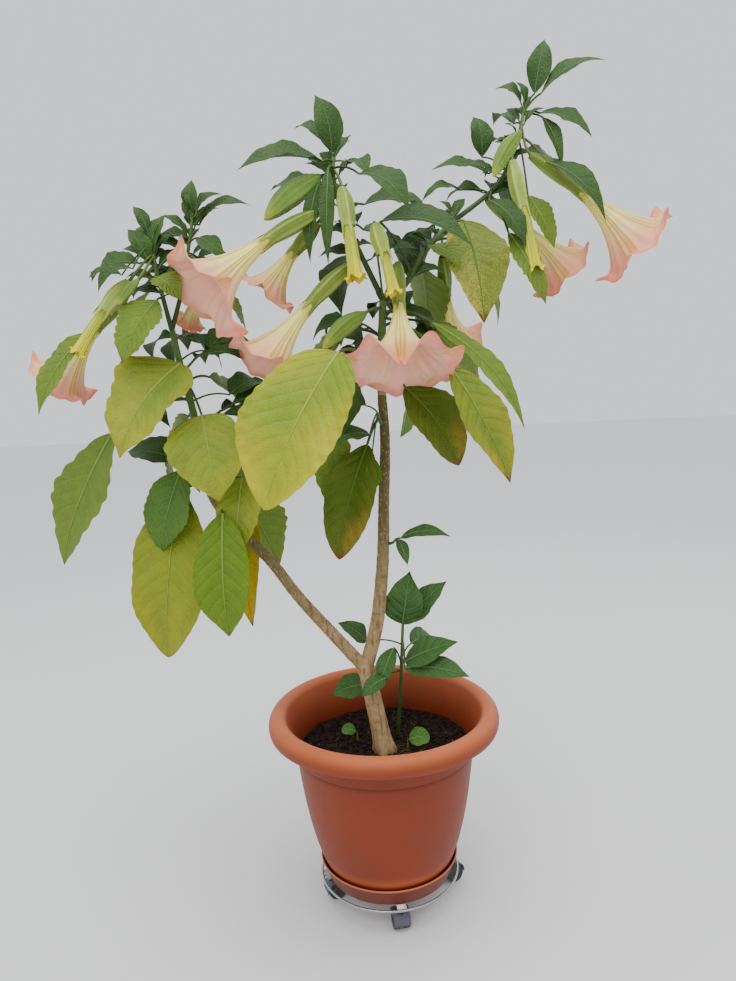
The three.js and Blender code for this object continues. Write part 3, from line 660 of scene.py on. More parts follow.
# Leaves
def blade(foot, row, look, chance):
    """A blade as a surface over the way along it, 0 to 1, and across it, -1 to 1.

    It is quilted, with a scalloped margin. Its upper side and its veins' sweep come with it.
    """
    long, wide, head, lift = row[4:8]
    down = heading(head, lift)
    side = unit(np.cross(down, LIGHT))
    face = np.cross(side, down)
    half = wide / 2
    young = long < SMALL_BLADE
    scallops = look.scallops - (2 if young else 0)
    phase = chance.uniform(0, 6.28)
    sway = chance.uniform(-0.035, 0.035)
    curl = chance.uniform(0.07, 0.15)
    waves = chance.uniform(1.4, 2.4)
    lop = chance.uniform(-0.06, 0.06)
    tip_drop = chance.uniform(0.02, 0.07)
    arch = BLADE_BOW + (chance.uniform(0.02, 0.09) if young else 0)
    fold = BLADE_FOLD
    if look is LOOKS[DARK_LEAF]:
        arch += chance.uniform(0.0, 0.06)
        fold += chance.uniform(0.05, 0.25)
    sweep = VEIN_SWEEP * half / long
    full, point = look.full, look.point
    fullest = full**full * point**point / (full + point) ** (full + point)

    def surface(t, s):
        t = np.clip(t, 0, 1)
        shape = t**full * (1 - t) ** point / fullest
        shape = shape * (1 - 0.3 * smooth(0.78, 1, t) * (point > 0.8))
        sign = np.sign(s)
        beat = t * scallops + 0.3 * np.sin(2 * t + phase) + 0.2 * sign
        notch = np.abs(np.sin(np.pi * beat)) - 0.6
        notch = notch * smooth(0.04, 0.2, t) * (1 - smooth(0.86, 1, t))
        edge = 1 + lop * sign + 0.03 * np.sin(9 * t + phase + sign) + look.depth * notch * np.abs(s) ** 3
        width = half * shape * edge
        course = t - sweep * np.abs(s) ** VEIN_CURVE + VEIN_SHIFT * sign
        rib = np.abs(np.sin(np.pi * look.pairs * course))
        raised = width * (
            fold * np.abs(s) ** 1.25
            + curl * s**2 * np.sin(2 * np.pi * waves * t + phase + 1.3 * sign)
            + 0.02 * look.quilt * rib * np.abs(s) ** 0.5 * (1 - np.abs(s) ** 4)
            + 0.025 * np.abs(s) ** 6 * np.sin(2 * np.pi * beat)
        )
        bow = arch * long * 4 * t * (1 - t) - tip_drop * long * t**4
        aside = s * width + sway * long * np.sin(np.pi * t)
        return (
            foot
            + down * (long * t)[..., None]
            + face * (bow + raised)[..., None]
            + side * aside[..., None]
        )

    return surface, face, sweep


def blade_colours(name, t, s, chance):
    """A blade's colours from midrib to margin and tip, with the marks of old leaves."""
    look = LOOKS[name]
    patchy = ripple(chance, 7 * t, 4 * s, 1.6)
    turning = look.turned * np.clip(0.05 + 0.45 * np.abs(s) ** 2.2 + 0.75 * t**2 + 0.4 * patchy, 0, 1)
    shade = uneven(mix(look.middle, look.margin, turning), 0.06, chance, 9 * t, 6 * s, 2)
    shade = shade * chance.uniform(0.92, 1.08)
    if name == "olive":
        shade = mix(shade, STRAW, 0.6 * smooth(0.55, 0.9, t + 0.5 * patchy) * smooth(0.3, 1, s))
    if name == "bronze":
        shade = mix(shade, SCORCH, 0.8 * smooth(0.5, 0.8, t + 0.15 * patchy) * smooth(0.2, -0.6, s))
    if name == "gold":
        shade = mix(shade, SHADED_GOLD, 0.65 * smooth(0.2, -0.3, s))
    if name in ("olive", "gold", "bronze", "amber"):
        shade = mix(shade, BROWN, smooth(0.93, 0.99, t + 0.05 * np.abs(s) + 0.04 * patchy))
    return shade


def leaf(start, row, chance):
    """A leaf: its blade, its stalk and its raised midrib."""
    _, stalk, turn, rise, long, _, _, _, *name = row
    name = name[0] if name else DARK_LEAF
    look = LOOKS[name]
    out = heading(turn, rise)
    surface, face, sweep = blade(start + out * stalk, row, look, chance)
    rows, columns = (34, 11) if long < SMALL_BLADE else (76, 19)
    t, s = np.meshgrid(np.linspace(0, 1, rows), np.linspace(-1, 1, columns), indexing="ij")
    places = np.stack([t, s, np.full_like(t, sweep)], -1)
    LEAVES[name].add(surface(t, s), grid(rows, columns), blade_colours(name, t, s, chance), places)

    thick = min(1.0 + long / 120, 2.7)
    steps = np.linspace(0, 1, 12)
    centres = start + out * (stalk * steps)[:, None]
    centres[:, 2] += STALK_BOW * stalk * 4 * steps * (1 - steps)
    green = 0.15 if name in ("lime", "amber", "gold") and stalk < 50 else 0.8
    tube(STALKS, centres, thick * lerp(1.0, 0.85, steps), 8, mix(STALK_GREEN, STEM_GREEN, green))
    run = np.linspace(0.0, 0.94, 24)
    midrib = surface(run, np.zeros(24)) + face * 0.15 * thick
    shade = mix(look.vein, look.middle, 0.25 * run)
    tube(VEINS, midrib, 0.75 * thick * (1 - 0.88 * run) + 0.1, 6, shade)


# Blooms
CREAM = petal(254, 236, 150)
TUBE_GREEN = petal(206, 206, 112)
SHELL_PINK = petal(252, 206, 168)
PINK = petal(246, 158, 140)
ROSE = petal(236, 124, 108)
INNER_PINK = petal(252, 188, 170)
RIB = petal(196, 164, 44)
SHEATH = srgb(120, 142, 62)
# paler ribs of the calyx, partly their own colour and partly a painted highlight
SHEATH_RIB = srgb(160, 174, 92)
YOUNG_SHEATH = srgb(164, 186, 92)
# paler ribs of a young calyx, partly their own colour and partly a painted highlight
YOUNG_SHEATH_RIB = srgb(202, 214, 134)
YOUNG_TUBE = petal(194, 200, 88)
YOUNG_MOUTH = petal(226, 208, 44)
YOUNG_RIB = srgb(136, 158, 60)
# painted shade for the dark inside of a young bloom's mouth
YOUNG_MOUTH_SHADE = srgb(120, 104, 30)
BUD_GREEN = srgb(116, 148, 68)
POLLEN_CORD = srgb(236, 224, 170)


def bloom_frame(axis):
    """Two directions across a bloom's axis: level, and upwards."""
    across = unit(np.cross(axis, [0, 0, 1]))
    return across, np.cross(across, axis)


def bloom_bow(axis, long, share):
    """How far a bloom that stands out sideways bows upwards, at a share of its length."""
    return BLOOM_BOW * math.hypot(axis[0], axis[1]) * long * np.sin(np.pi * share)


def shell(pile, foot, axis, along, radii, colours, long):
    """A bell-like skin round an axis: a grid of distances along it and of radii."""
    across, up = bloom_frame(axis)
    rows, columns = radii.shape
    angles = circle(columns)
    bow = bloom_bow(axis, long, np.clip(along / long, 0, 1))
    rings = (
        foot
        + along[..., None] * axis
        + (radii * np.cos(angles))[..., None] * across
        + (radii * np.sin(angles) + bow)[..., None] * up
    )
    pile.add(rings, grid(rows, columns, True), colours)


def gap_to(angles, middle):
    """The angle from a direction, from -pi to pi."""
    return np.angle(np.exp(1j * (angles - middle)))


def nearness(angles, middles, width):
    """1 at each of some directions, falling to 0 beyond a width on either side of them."""
    return np.max([np.exp(-((gap_to(angles, middle) / width) ** 2)) for middle in middles], 0)


def lobe_ribs(angles, x):
    """How near each point is to one of the three ribs of a lobe, which meet at the lobe's tip."""
    spread = lerp(0.26, 0.2, x) * (1 - 0.75 * smooth(0.8, 1.0, x))
    middles = [tip + offset * spread for tip in LOBE_TIPS for offset in (-1, 0, 1)]
    return nearness(angles, middles, RIB_WIDTH)


def corolla(foot, axis, long, mouth, hanging, chance):
    """The petals: a pleated tube that widens into a rolled mouth with five long-tailed lobes.

    On a bloom with a hanging lobe, the upper one droops before the mouth like a tongue.
    """
    slender = mouth < SLENDER_MOUTH
    phase = -math.pi / (2 * LOBES) if hanging else 0.0
    rows, columns = (40, 100) if slender else (54, 150)
    flare = mouth / 2
    throat = min(THROAT, 0.5 * flare)
    x, angles = sheet(-0.28, 1, rows, columns)
    open_share = np.clip(x, 0, 1)
    widening = 0.2 * open_share + 0.6 * open_share**2.3 + 0.2 * open_share**8
    if slender:
        widening = 0.3 * open_share + 0.7 * open_share**9
    lobe = (1 - np.cos(LOBES * (angles - phase))) / 2
    rim = smooth(0.8, 1, x)
    tail = nearness(angles, [tip + phase for tip in LOBE_TIPS], 0.1) * smooth(0.93, 1, x)
    first, second = chance.uniform(0, 6.28), chance.uniform(0, 6.28)
    ruffle = rim * (np.sin(10 * angles + first) + 0.5 * np.sin(17 * angles + second))
    ribs = lobe_ribs(angles - phase, open_share)
    radii = lerp(throat, flare, widening) * (1 - 0.11 * rim * (1 - lobe**1.2))
    pleats = 0.03 * np.cos(3 * LOBES * angles) * smooth(0, 0.3, x) * (1 - rim)
    radii = radii * (1 + pleats) + 0.7 * ribs
    radii = radii + ruffle * (0.5 if slender else 0.016 * flare)
    radii = radii + tail * (3 if slender else 0.07 * flare)
    drawn = LOBE_BACK * lobe**2 * rim + 0.03 * rim**3
    along = long * (0.46 + 0.54 * x - drawn) + ruffle * (0.8 if slender else 0.008 * long)
    along = along - tail * (-4 if slender else 0.04 * long)
    droop = np.zeros_like(x)
    if hanging:
        off = np.abs(gap_to(angles, np.pi / 2))
        droop = np.exp(-((off / 0.36) ** 4)) * smooth(0.5, 0.85, x)
        cleft = np.exp(-(((off - 0.62) / 0.2) ** 2)) * smooth(0.7, 1, x)
        radii = radii * (1 - 0.74 * droop)
        along = along + 0.07 * long * droop * rim - 0.12 * long * cleft
    if mouth < YOUNG_WIDTH:
        shade = young_colours(x, ribs)
    else:
        shade = petal_colours(x, angles, ribs, droop, chance)
    shell(BLOOMS, foot, axis, along, radii, shade, long)
    if not slender:
        half = slice(rows // 3, rows)
        gap = 0.6 * (1 - smooth(0.97, 1, x))
        shell(LININGS, foot, axis, along[half], (radii - gap)[half], lining_colours(x, ribs)[half], long)
    pollen_cords(foot, axis, long, throat, slender)


def young_colours(x, ribs):
    """A young bloom: a yellow-green tube with a yellow mouth, and painted shade at its lip for the dark
    inside.
    """
    shade = mix(YOUNG_TUBE, YOUNG_MOUTH, smooth(0.35, 0.9, x))
    shade = mix(shade, YOUNG_RIB, 0.85 * ribs)
    # painted shade at the lip, where the dark inside of the mouth shows
    return mix(shade, YOUNG_MOUTH_SHADE, 0.5 * smooth(0.985, 1, x))


def petal_colours(x, angles, ribs, droop, chance):
    """An open bloom: green, cream and then pink towards the mouth, paler on its upper side."""
    upper = 0.5 + 0.5 * np.sin(angles)
    shade = mix(TUBE_GREEN, CREAM, smooth(-0.1, 0.2, x))
    shade = mix(shade, SHELL_PINK, smooth(0.3, 0.62, x) * (1 - 0.55 * upper))
    shade = mix(shade, PINK, smooth(0.5, 0.92, x) * (1 - 0.45 * upper))
    shade = mix(shade, ROSE, smooth(0.96, 1, x) * 0.8)
    shade = mix(shade, RIB, ribs * (1 - 0.7 * smooth(0.8, 1, x)))
    shade = mix(shade, PINK, droop * smooth(0.8, 1, x))
    return uneven(shade, 0.04, chance, 6 * x, 3 * np.cos(angles), 3)


def lining_colours(x, ribs):
    """The inside of an open bloom."""
    shade = mix(CREAM, INNER_PINK, smooth(0.2, 0.6, x))
    shade = mix(shade, PINK, smooth(0.85, 1, x))
    return mix(shade, CREAM, 0.3 * ribs * (1 - smooth(0.85, 0.97, x)))


def pollen_cords(foot, axis, long, throat, slender):
    """Five stamens and a longer pistil down the middle of the tube."""
    across, up = bloom_frame(axis)
    for index in range(STAMENS + 1):
        stamen = index < STAMENS
        angle = 2 * math.pi * index / STAMENS
        reach = 0.9 if slender else (0.72 if stamen else 0.84)
        wide = 0.45 * throat if stamen else 0.1
        t = np.linspace(0.35, reach, 12)
        line = foot + axis * (long * t)[:, None] + up * bloom_bow(axis, long, t)[:, None]
        line = line + across * wide * math.cos(angle) + up * wide * math.sin(angle)
        radii = np.where(t > reach - 0.06, 1.5, 0.7)
        tube(SHEATHS, line, radii, 6, POLLEN_CORD, True)


def sheath(foot, axis, long, young, chance):
    """The calyx: a pleated green sleeve that ends in pointed teeth."""
    x, angles = sheet(0, 1, 26, 80)
    ridge, between = np.cos(LOBES * angles), np.cos(2 * LOBES * angles)
    crest = np.maximum(ridge, 0)
    wide = CALYX * (1.05 if young else 1)
    radii = 3.5 + (wide - 3.5) * np.sin(np.pi * np.clip(x * 0.88 + 0.03, 0, 1)) ** 0.6
    radii = radii * (1 + (0.1 * ridge + 0.04 * between) * np.sin(np.pi * np.clip(x, 0, 1)) ** 0.4)
    radii = np.maximum(radii, (10.6 if young else 10.2) * smooth(0.5, 0.95, x))
    radii = radii + 1.6 * smooth(0.9, 1, x) * crest
    teeth = (0.11 if young else 0.075) * long * crest**1.6 * smooth(0.78, 1, x)
    along = 0.41 * long * x + teeth
    base, ribbed = (YOUNG_SHEATH, YOUNG_SHEATH_RIB) if young else (SHEATH, SHEATH_RIB)
    # the ribs are paler, partly their own colour and partly a painted highlight
    shade = mix(base, ribbed, crest**3 * 0.8 + 0.2 * np.maximum(between, 0) ** 4)
    shade = mix(shade, base * 0.75, 0.6 * (1 - smooth(0, 0.25, x)))
    # painted shade in the grooves between the ribs
    shade = mix(shade, base * 0.7, 0.5 * np.maximum(-ridge, 0) ** 4)
    shade = uneven(shade, 0.06, chance, 6 * x, 2 * np.cos(angles), 3)
    shell(SHEATHS, foot, axis, along, radii, shade, long)


def bud(foot, axis, long, chance):
    """A closed bud: a pleated spindle with a short split point."""
    x, angles = sheet(0, 1, 34, 80)
    stations = [0, 0.12, 0.3, 0.45, 0.65, 0.8, 0.93, 1]
    widths = [0.035, 0.095, 0.135, 0.145, 0.13, 0.1, 0.055, 0.004]
    ridge, between = np.cos(LOBES * angles), np.cos(2 * LOBES * angles)
    radii = long * np.interp(x, stations, widths)
    radii = radii * (1 + (0.1 * ridge + 0.04 * between) * np.sin(np.pi * x) ** 0.5)
    # paler ribs, partly their own colour and partly a painted highlight
    shade = mix(BUD_GREEN, SHEATH_RIB, np.maximum(between, 0) ** 4 * 0.4)
    shade = mix(shade, YOUNG_TUBE, smooth(0.7, 1, x) * 0.5)
    shade = uneven(shade, 0.07, chance, 6 * x, 2 * np.cos(angles), 3)
    shell(SHEATHS, foot, axis, long * x, radii, shade, long)


def bloom(start, row, chance):
    """A bloom on its bowed stalk: a bud, or a sheath with its petals."""
    _, stalk, turn, rise, long, mouth, head, lift, *form = row
    out, axis = heading(turn, rise), heading(head, lift)
    foot = start + out * stalk
    hand = 0.25 * stalk
    corners = [start, start + out * hand + [0, 0, 0.06 * stalk], foot - axis * hand, foot + axis * 5]
    radii = lerp(1.8, 2.9, np.linspace(0, 1, 14) ** 2)
    tube(STALKS, bezier(corners, 14), radii, 8, mix(STALK_GREEN, STEM_GREEN, 0.4))
    if mouth == 0:
        bud(foot, axis, long, chance)
        return
    sheath(foot, axis, long, mouth < SLENDER_MOUTH, chance)
    corolla(foot, axis, long, mouth, "tongue" in form, chance)


# Shoots
def kept_back(turn):
    """A bearing, turned about where it would bring a leaf before the viewer."""
    return turn + 180 if math.sin(math.radians(turn)) < MOST_FORWARD else turn


def rule_rows(fill):
    """The leaves that a shoot's rule adds, in the form of its own rows."""
    rows = []
    for i in range(fill["count"] if fill else 0):
        t = i / (fill["count"] - 1)
        turn = kept_back(fill["turn"] + i * GOLDEN_TURN)
        place = lerp(fill["from"], fill["to"], t)
        long, rise, stalk = (lerp(*fill[key], t) for key in ("long", "rise", "stalk"))
        rows.append([place, stalk, turn, rise + 20, long, SLIM * long, turn, rise])
    return rows


def green_stem(line, start, end, radius, chance, woody=0.0):
    """A green stem with faint swellings, from the colour of bark at its foot where it is woody."""
    distances = np.linspace(start, end, max(6, round((end - start) / 5)))
    share = distances / line.length
    radii = lerp(radius[0], radius[1], share)
    radii = radii * (1 + 0.05 * np.sin(distances / 9 + chance.uniform(0, 6)) ** 8)
    shade = mix(STEM_GREEN, STEM_TIP, share)
    shade = mix(shade, BARK_LIGHT * 0.8, woody * (1 - smooth(start, start + 90, distances)))
    tube(STEMS, line.at(distances), radii, 16, shade, True)


def young_growth(line, start, end, count, chance):
    """Small leaves in the axils and round the tip, by a seeded rule."""
    for i in range(count):
        share = lerp(0.15, 1.0, i / (count - 1))
        turn = kept_back(i * GOLDEN_TURN + chance.uniform(-20, 20))
        rise = lerp(15, 70, share**2) + chance.uniform(-12, 12)
        long = chance.uniform(38, 76) * lerp(1.1, 0.62, share)
        row = [0, chance.uniform(4, 12), turn, rise, long, SLIM_YOUNG * long, turn + 8, rise - 14]
        leaf(line.at(lerp(start, end, share)), row, chance)


def axil_twigs(line, start, end, count, chance):
    """Short twigs with small leaves behind the large ones, by a seeded rule."""
    for i in range(count):
        base = line.at(lerp(start, end, 0.12 + 0.8 * i / (count - 1)))
        turn = 90 + 62 * math.sin(2.4 * i + 0.5) + chance.uniform(-8, 8)
        rise = chance.uniform(10, 40)
        long = chance.uniform(45, 75)
        tip = base + heading(turn, rise) * long
        twig = Track([base, lerp(base, tip, 0.5) + [0, 0, 0.08 * long], tip])
        green_stem(twig, 0, twig.length, [2.2, 1.4], chance)
        for k in range(5):
            share = lerp(0.35, 1.0, k / 4)
            bearing = turn + (-1) ** k * chance.uniform(35, 75) * (1.1 - share)
            lift = rise - chance.uniform(25, 55)
            wide = chance.uniform(52, 92)
            stalk = chance.uniform(8, 18)
            row = [0, stalk, bearing, lift + 25, wide, SLIM_YOUNG * wide, bearing, lift]
            leaf(twig.at(share * twig.length), row, chance)


def grow(shoot, chance):
    """A shoot's green stem, its leaves, its blooms and its young growth."""
    line = Track(shoot["points"])
    woody = "bare" in shoot
    start = shoot["bare"] * line.length if woody else STUB
    stem_start, bark_share = (start, WOODY_SHARE) if woody else (0, 0)
    green_stem(line, stem_start, line.length, shoot["radius"], chance, bark_share)
    for row in shoot["leaves"] + rule_rows(shoot.get("fill")):
        leaf(line.at(lerp(start, line.length, row[0])), row, chance)
    for row in shoot["blooms"]:
        bloom(line.at(lerp(start, line.length, row[0])), row, chance)
    if woody:
        axil_twigs(line, start, line.length, AXIL_TWIGS, chance)
    else:
        young_growth(line, start, line.length, YOUNG_LEAVES, chance)


def grow_twig(line, twig, chance):
    """A short stem with its leaves."""
    green_stem(line, 0, line.length, twig["radius"], chance)
    for row in twig["leaves"]:
        leaf(line.at(row[0] * line.length), row, chance)


def side_twig_line(twig):
    """The line of a twig that leaves the upright stem's side."""
    line = Track(UPRIGHT["points"])
    distance = 0
    while line.at(distance)[2] < twig["height"]:
        distance += 1
    surface = lerp(*UPRIGHT["radius"], distance / line.length)
    out = heading(twig["turn"], 0)
    foot = line.at(distance) + out * (surface - 1)
    tip = foot + heading(twig["turn"], twig["rise"]) * twig["long"]
    return Track([foot, foot + out * twig["long"] / 3, tip])


def grow_sprout(sprout, chance):
    """A seedling: a short stalk with one round leaf."""
    base = np.array([*sprout["foot"], SOIL_HEIGHT - 2.0])
    top = base + [0, 0, SPROUT_HEIGHT + 2]
    tube(STALKS, bezier([base, top], 6), 1.3, 8, STALK_GREEN)
    long, wide = sprout["blade"]
    leaf(top, [0, 3, sprout["turn"], 10, long, wide, sprout["turn"], 8, "sprig"], chance)


# Bark: trunk and boughs joined into one skin, with pits, dots, faint rings and leaf scars
def closed_limb(pile, line, end, radii):
    """A limb along a line up to a distance, closed at both ends."""
    centres = line.at(np.linspace(0, end, len(radii)))
    first = centres[0] * 1.05 - centres[1] * 0.05
    last = centres[-1] * 1.05 - centres[-2] * 0.05
    tips = np.full((1, radii.shape[1]), ON_AXIS)
    radii = np.concatenate([tips, radii, tips])
    tube(pile, np.vstack([first, centres, last]), radii, radii.shape[1], BARK_LIGHT)


def limb_skin():
    """The trunk and both boughs as tubes, before they are joined."""
    sides = 24
    pile = Pile()
    line = Track(TRUNK["points"])
    distances = np.linspace(0, line.length, 60)
    flare = ROOT_FLARE * np.exp(-np.maximum(distances - 8, 0) / FLARE_HEIGHT)
    lobed = 1 + 0.16 * np.cos(4 * circle(sides) + 0.6)[None] * (flare / ROOT_FLARE)[:, None]
    radii = (lerp(*TRUNK["radius"], distances / line.length) + flare)[:, None] * lobed
    closed_limb(pile, line, line.length, radii)
    for shoot in (SHOOT["foliage_left"], UPRIGHT):
        line = Track(shoot["points"])
        shares = np.linspace(0, shoot["bare"], 90)[:, None] + np.zeros(sides)
        closed_limb(pile, line, shoot["bare"] * line.length, lerp(*shoot["radius"], shares))
    return pile


def scar_marks(rows):
    """Half-moon scars where leaves have dropped off the upright stem."""
    stem = Track(UPRIGHT["points"]).samples
    marks = np.zeros(len(rows))
    for height, turn in SCARS:
        offset = rows - [np.interp(height, stem[:, 2], stem[:, k]) for k in range(3)]
        reach = np.maximum(np.linalg.norm(offset[:, :2], axis=1), 1)
        facing = offset[:, :2] @ heading(turn, 0)[:2] / reach
        marks = np.maximum(marks, np.exp(-((offset[:, 2] / 2.6) ** 2)) * smooth(0.5, 0.85, facing))
    return marks


def bark_shade(rows, relief, wart, tone, scars):
    """Bark that is dark in its scars and green on the younger wood, with painted shade where it meets the
    soil and painted light on the trunk below the fork.
    """
    height = rows[:, 2]
    shade = mix(BARK_LIGHT, BARK_DARK, np.clip(0.3 + 0.7 * relief + 0.4 * tone, 0, 1))
    shade = mix(shade, BARK_WART, 0.45 * wart)
    # painted shade where the trunk meets the soil; the leaf scars take the same dark colour as their own
    soil_shade = 0.6 * smooth(10, -2, height - SOIL_HEIGHT)
    shade = mix(shade, BARK_DARK * 0.5, np.maximum(soil_shade, 0.55 * scars))
    upper = smooth(430, 820, height) * 0.9
    outer = smooth(-40, -210, rows[:, 0]) * 0.85
    shade = mix(shade, BARK_GREEN, np.maximum(upper, outer))
    # painted light: the trunk below the fork is brightened against the shade that the crown and the pot
    # cast on it
    return shade * (1 + 0.3 * smooth(470, 400, height))[:, None]


def read_vectors(vertices, name):
    """A vector of each vertex, such as its place."""
    values = np.zeros(len(vertices) * 3, np.float32)
    vertices.foreach_get(name, values)
    return values.reshape(-1, 3)


def bark(skin):
    """One remeshed skin over the trunk and both boughs, then its relief along its normals."""
    obj = piece("bark", limb_skin(), skin, ["trunk", "bough_left", "upright_stem"])
    remesh = obj.modifiers.new("remesh", "REMESH")
    remesh.mode = "VOXEL"
    remesh.voxel_size = BARK_VOXEL
    soften = obj.modifiers.new("soften", "SMOOTH")
    soften.iterations = 6
    mesh = bpy.data.meshes.new_from_object(obj.evaluated_get(bpy.context.evaluated_depsgraph_get()))
    obj.modifiers.clear()
    obj.data = mesh
    places = read_vectors(mesh.vertices, "co")
    wart = smooth(0.25, 0.55, noise_at(places, np.array([520, 520, 260])))
    relief, tone = noise_at(places, 110), noise_at(places, 30)
    rows = (places - AXIS) / MM
    rings = np.maximum(0, np.sin(rows[:, 2] / 6.5 + 2.5 * tone)) ** 10
    scars = scar_marks(rows)
    heights = 0.4 * relief + 0.4 * wart + 0.2 * rings + 0.5 * scars
    places = places + read_vectors(mesh.vertices, "normal") * (heights * MM)[:, None]
    places[:, 2] = np.maximum(places[:, 2], (SOIL_HEIGHT - 7) * MM)
    mesh.vertices.foreach_set("co", places.ravel().astype(np.float32))
    if "shade" in mesh.color_attributes:
        mesh.color_attributes.remove(mesh.color_attributes["shade"])
    paint(mesh, bark_shade(rows, relief, wart, tone, scars))
    mesh.shade_smooth()


# Pot and saucer
POT_COLOUR = srgb(134, 60, 40)
# pale dust, also used as a painted highlight where the rim faces the light from above
POT_DUST_AND_HIGHLIGHT = srgb(222, 130, 90)
SAUCER_COLOUR = srgb(118, 60, 47)


def dust_and_highlight(profile):
    """The pot's colour at each point of a profile: dust and a painted highlight where the wall looks up,
    painted shade in the groove.
    """
    radius, height = profile.T
    outwards, upwards = np.gradient(profile, axis=0).T
    facing = -outwards / np.maximum(np.hypot(outwards, upwards), 1e-6)
    rim = smooth(STEP_HEIGHT + 8, NECK_HEIGHT + 12, height)
    # painted shade in the groove under the step
    groove = np.exp(-(((height - STEP_HEIGHT + 1.5) / 1.8) ** 2)) * (radius > STEP_RADIUS - 2)
    splashes = np.exp(-(((height - SAUCER_TOP - 9) / 9) ** 2)) * (radius > POT_FOOT_RADIUS)
    # the rim is paler where it faces up: partly dust, partly a painted highlight of the light from above
    shade = mix(POT_COLOUR, POT_DUST_AND_HIGHLIGHT, smooth(-0.1, 1.0, facing) * rim * 0.8 + 0.08 * rim)
    return mix(shade, POT_DUST_AND_HIGHLIGHT, 0.3 * splashes) * (1 - 0.45 * groove)[:, None]


def roll(inset, start, end, count):
    """The pot's rolled rim, or a line inside it."""
    angles = np.radians(np.linspace(start, end, count))
    return np.stack([
        ROLL_CENTRE[0] + (ROLL_HALF_WIDTH - inset) * np.cos(angles),
        ROLL_CENTRE[1] + (ROLL_HALF_HEIGHT - inset) * np.sin(angles),
    ], -1)


def foot_corner(radius, height, lean, up):
    """The rounded corner of a foot, from its underside to its wall."""
    return bezier([(radius - 3, height), (radius, height), (radius + lean, height + up)], 6)


def pot():
    """The pot's wall, in and out, with its step, its groove and its rolled rim."""
    side = bezier([(POT_FOOT_RADIUS, POT_FOOT + 2.5), POT_BELLY, (STEP_RADIUS, STEP_HEIGHT)], 40)
    out = STEP_RADIUS + STEP_OUT
    step = bezier([(STEP_RADIUS, STEP_HEIGHT), (out, STEP_HEIGHT + 0.3), (out, STEP_HEIGHT + STEP_OUT)], 6)
    neck = bezier(
        [(out, STEP_HEIGHT + STEP_OUT), (out + 3, STEP_HEIGHT + 20), (NECK_RADIUS, NECK_HEIGHT)], 10
    )
    groove = [STEP_RADIUS, STEP_HEIGHT] - np.array([[0.7, 3.5], [1.5, 1.5], [1.2, 0.4], [0, 0]])
    profile = np.concatenate([
        [[ON_AXIS, POT_FOOT]], foot_corner(POT_FOOT_RADIUS, POT_FOOT, 0, 2.5), side[1:-1],
        groove, step[1:], neck[1:], roll(POT_WALL, ROLL_START, ROLL_END, 26),
        roll(1.5, ROLL_END, ROLL_END - 4, 2)[1:], roll(0, ROLL_END, ROLL_START, 30),
        [[NECK_RADIUS - POT_WALL, NECK_HEIGHT]], side[::-1] - [POT_WALL, 0],
        [[POT_FOOT_RADIUS - POT_WALL, POT_FOOT + POT_WALL], [ON_AXIS, POT_FOOT + POT_WALL]],
    ])
    pile = Pile()
    pile.add(*turned(profile, 160), dust_and_highlight(profile))
    return pile


def saucer():
    """The saucer: a flared wall with a rounded rim, paler with dust and a painted highlight."""
    half = SAUCER_WALL / 2
    angles = np.linspace(0, np.pi, 9)
    rim = np.stack([
        SAUCER_RIM_RADIUS - half + half * np.cos(angles), SAUCER_TOP - half + half * np.sin(angles)
    ], -1)
    floor = SAUCER_FOOT + SAUCER_WALL
    profile = np.concatenate([
        [[ON_AXIS, SAUCER_FOOT]], foot_corner(SAUCER_FOOT_RADIUS, SAUCER_FOOT, 1, 3),
        [[SAUCER_RIM_RADIUS - 1.8, SAUCER_TOP - 4.5], [SAUCER_RIM_RADIUS - 0.4, SAUCER_TOP - 3.6]],
        rim,
        [[SAUCER_FOOT_RADIUS - 1.5, floor + 1.5], [SAUCER_FOOT_RADIUS - 4, floor], [ON_AXIS, floor]],
    ])
    # the top of the rim is painted paler: dust, and a painted highlight where it faces the light
    edge = smooth(SAUCER_TOP - 4, SAUCER_TOP - 0.6, profile[:, 1])
    pile = Pile()
    pile.add(*turned(profile, 144), mix(SAUCER_COLOUR, POT_DUST_AND_HIGHLIGHT, 0.9 * edge))
    return pile


# Soil
SOIL_DARK = srgb(38, 27, 24)
SOIL_LIGHT = srgb(74, 54, 46)
CHIP = srgb(150, 128, 100)
FIBRE_DARK = srgb(120, 92, 62)
FIBRE_LIGHT = srgb(176, 146, 104)
CRUMB_CORNERS = np.array([[x, y, z] for x in (-1, 1) for y in (-1, 1) for z in (-1, 1)], float)
CRUMB_SIDES = np.array([
    [0, 1, 3, 2], [4, 6, 7, 5], [0, 4, 5, 1], [2, 3, 7, 6], [0, 2, 6, 4], [1, 5, 7, 3],
])


def soil_rise(points, relief):
    """How high the soil stands at some points, by the heights and widths of its relief."""
    return sum(height * noise_at(points, 1 / width) for height, width in relief)


def soil():
    """The soil's uneven top and its side down the pot."""
    rows, columns = 70, 220
    radius, angles = sheet(0.3, SOIL_RADIUS, rows, columns)
    points = np.stack([radius * np.cos(angles), radius * np.sin(angles), 0 * radius], -1).reshape(-1, 3)
    points[:, 2] = SOIL_HEIGHT - 3 + soil_rise(points, SOIL_RELIEF)
    pile = Pile()
    tone = np.clip(0.3 + noise_at(points, 1 / 14), 0, 1)
    pile.add(points, grid(rows, columns, True), mix(SOIL_DARK, SOIL_LIGHT, tone))
    wall = points.reshape(rows, columns, 3)[-1]
    low = wall * [0.7, 0.7, 0] + [0, 0, POT_FOOT + POT_WALL + 2]
    pile.add(np.stack([wall, low]), grid(2, columns, True), SOIL_DARK)
    return pile


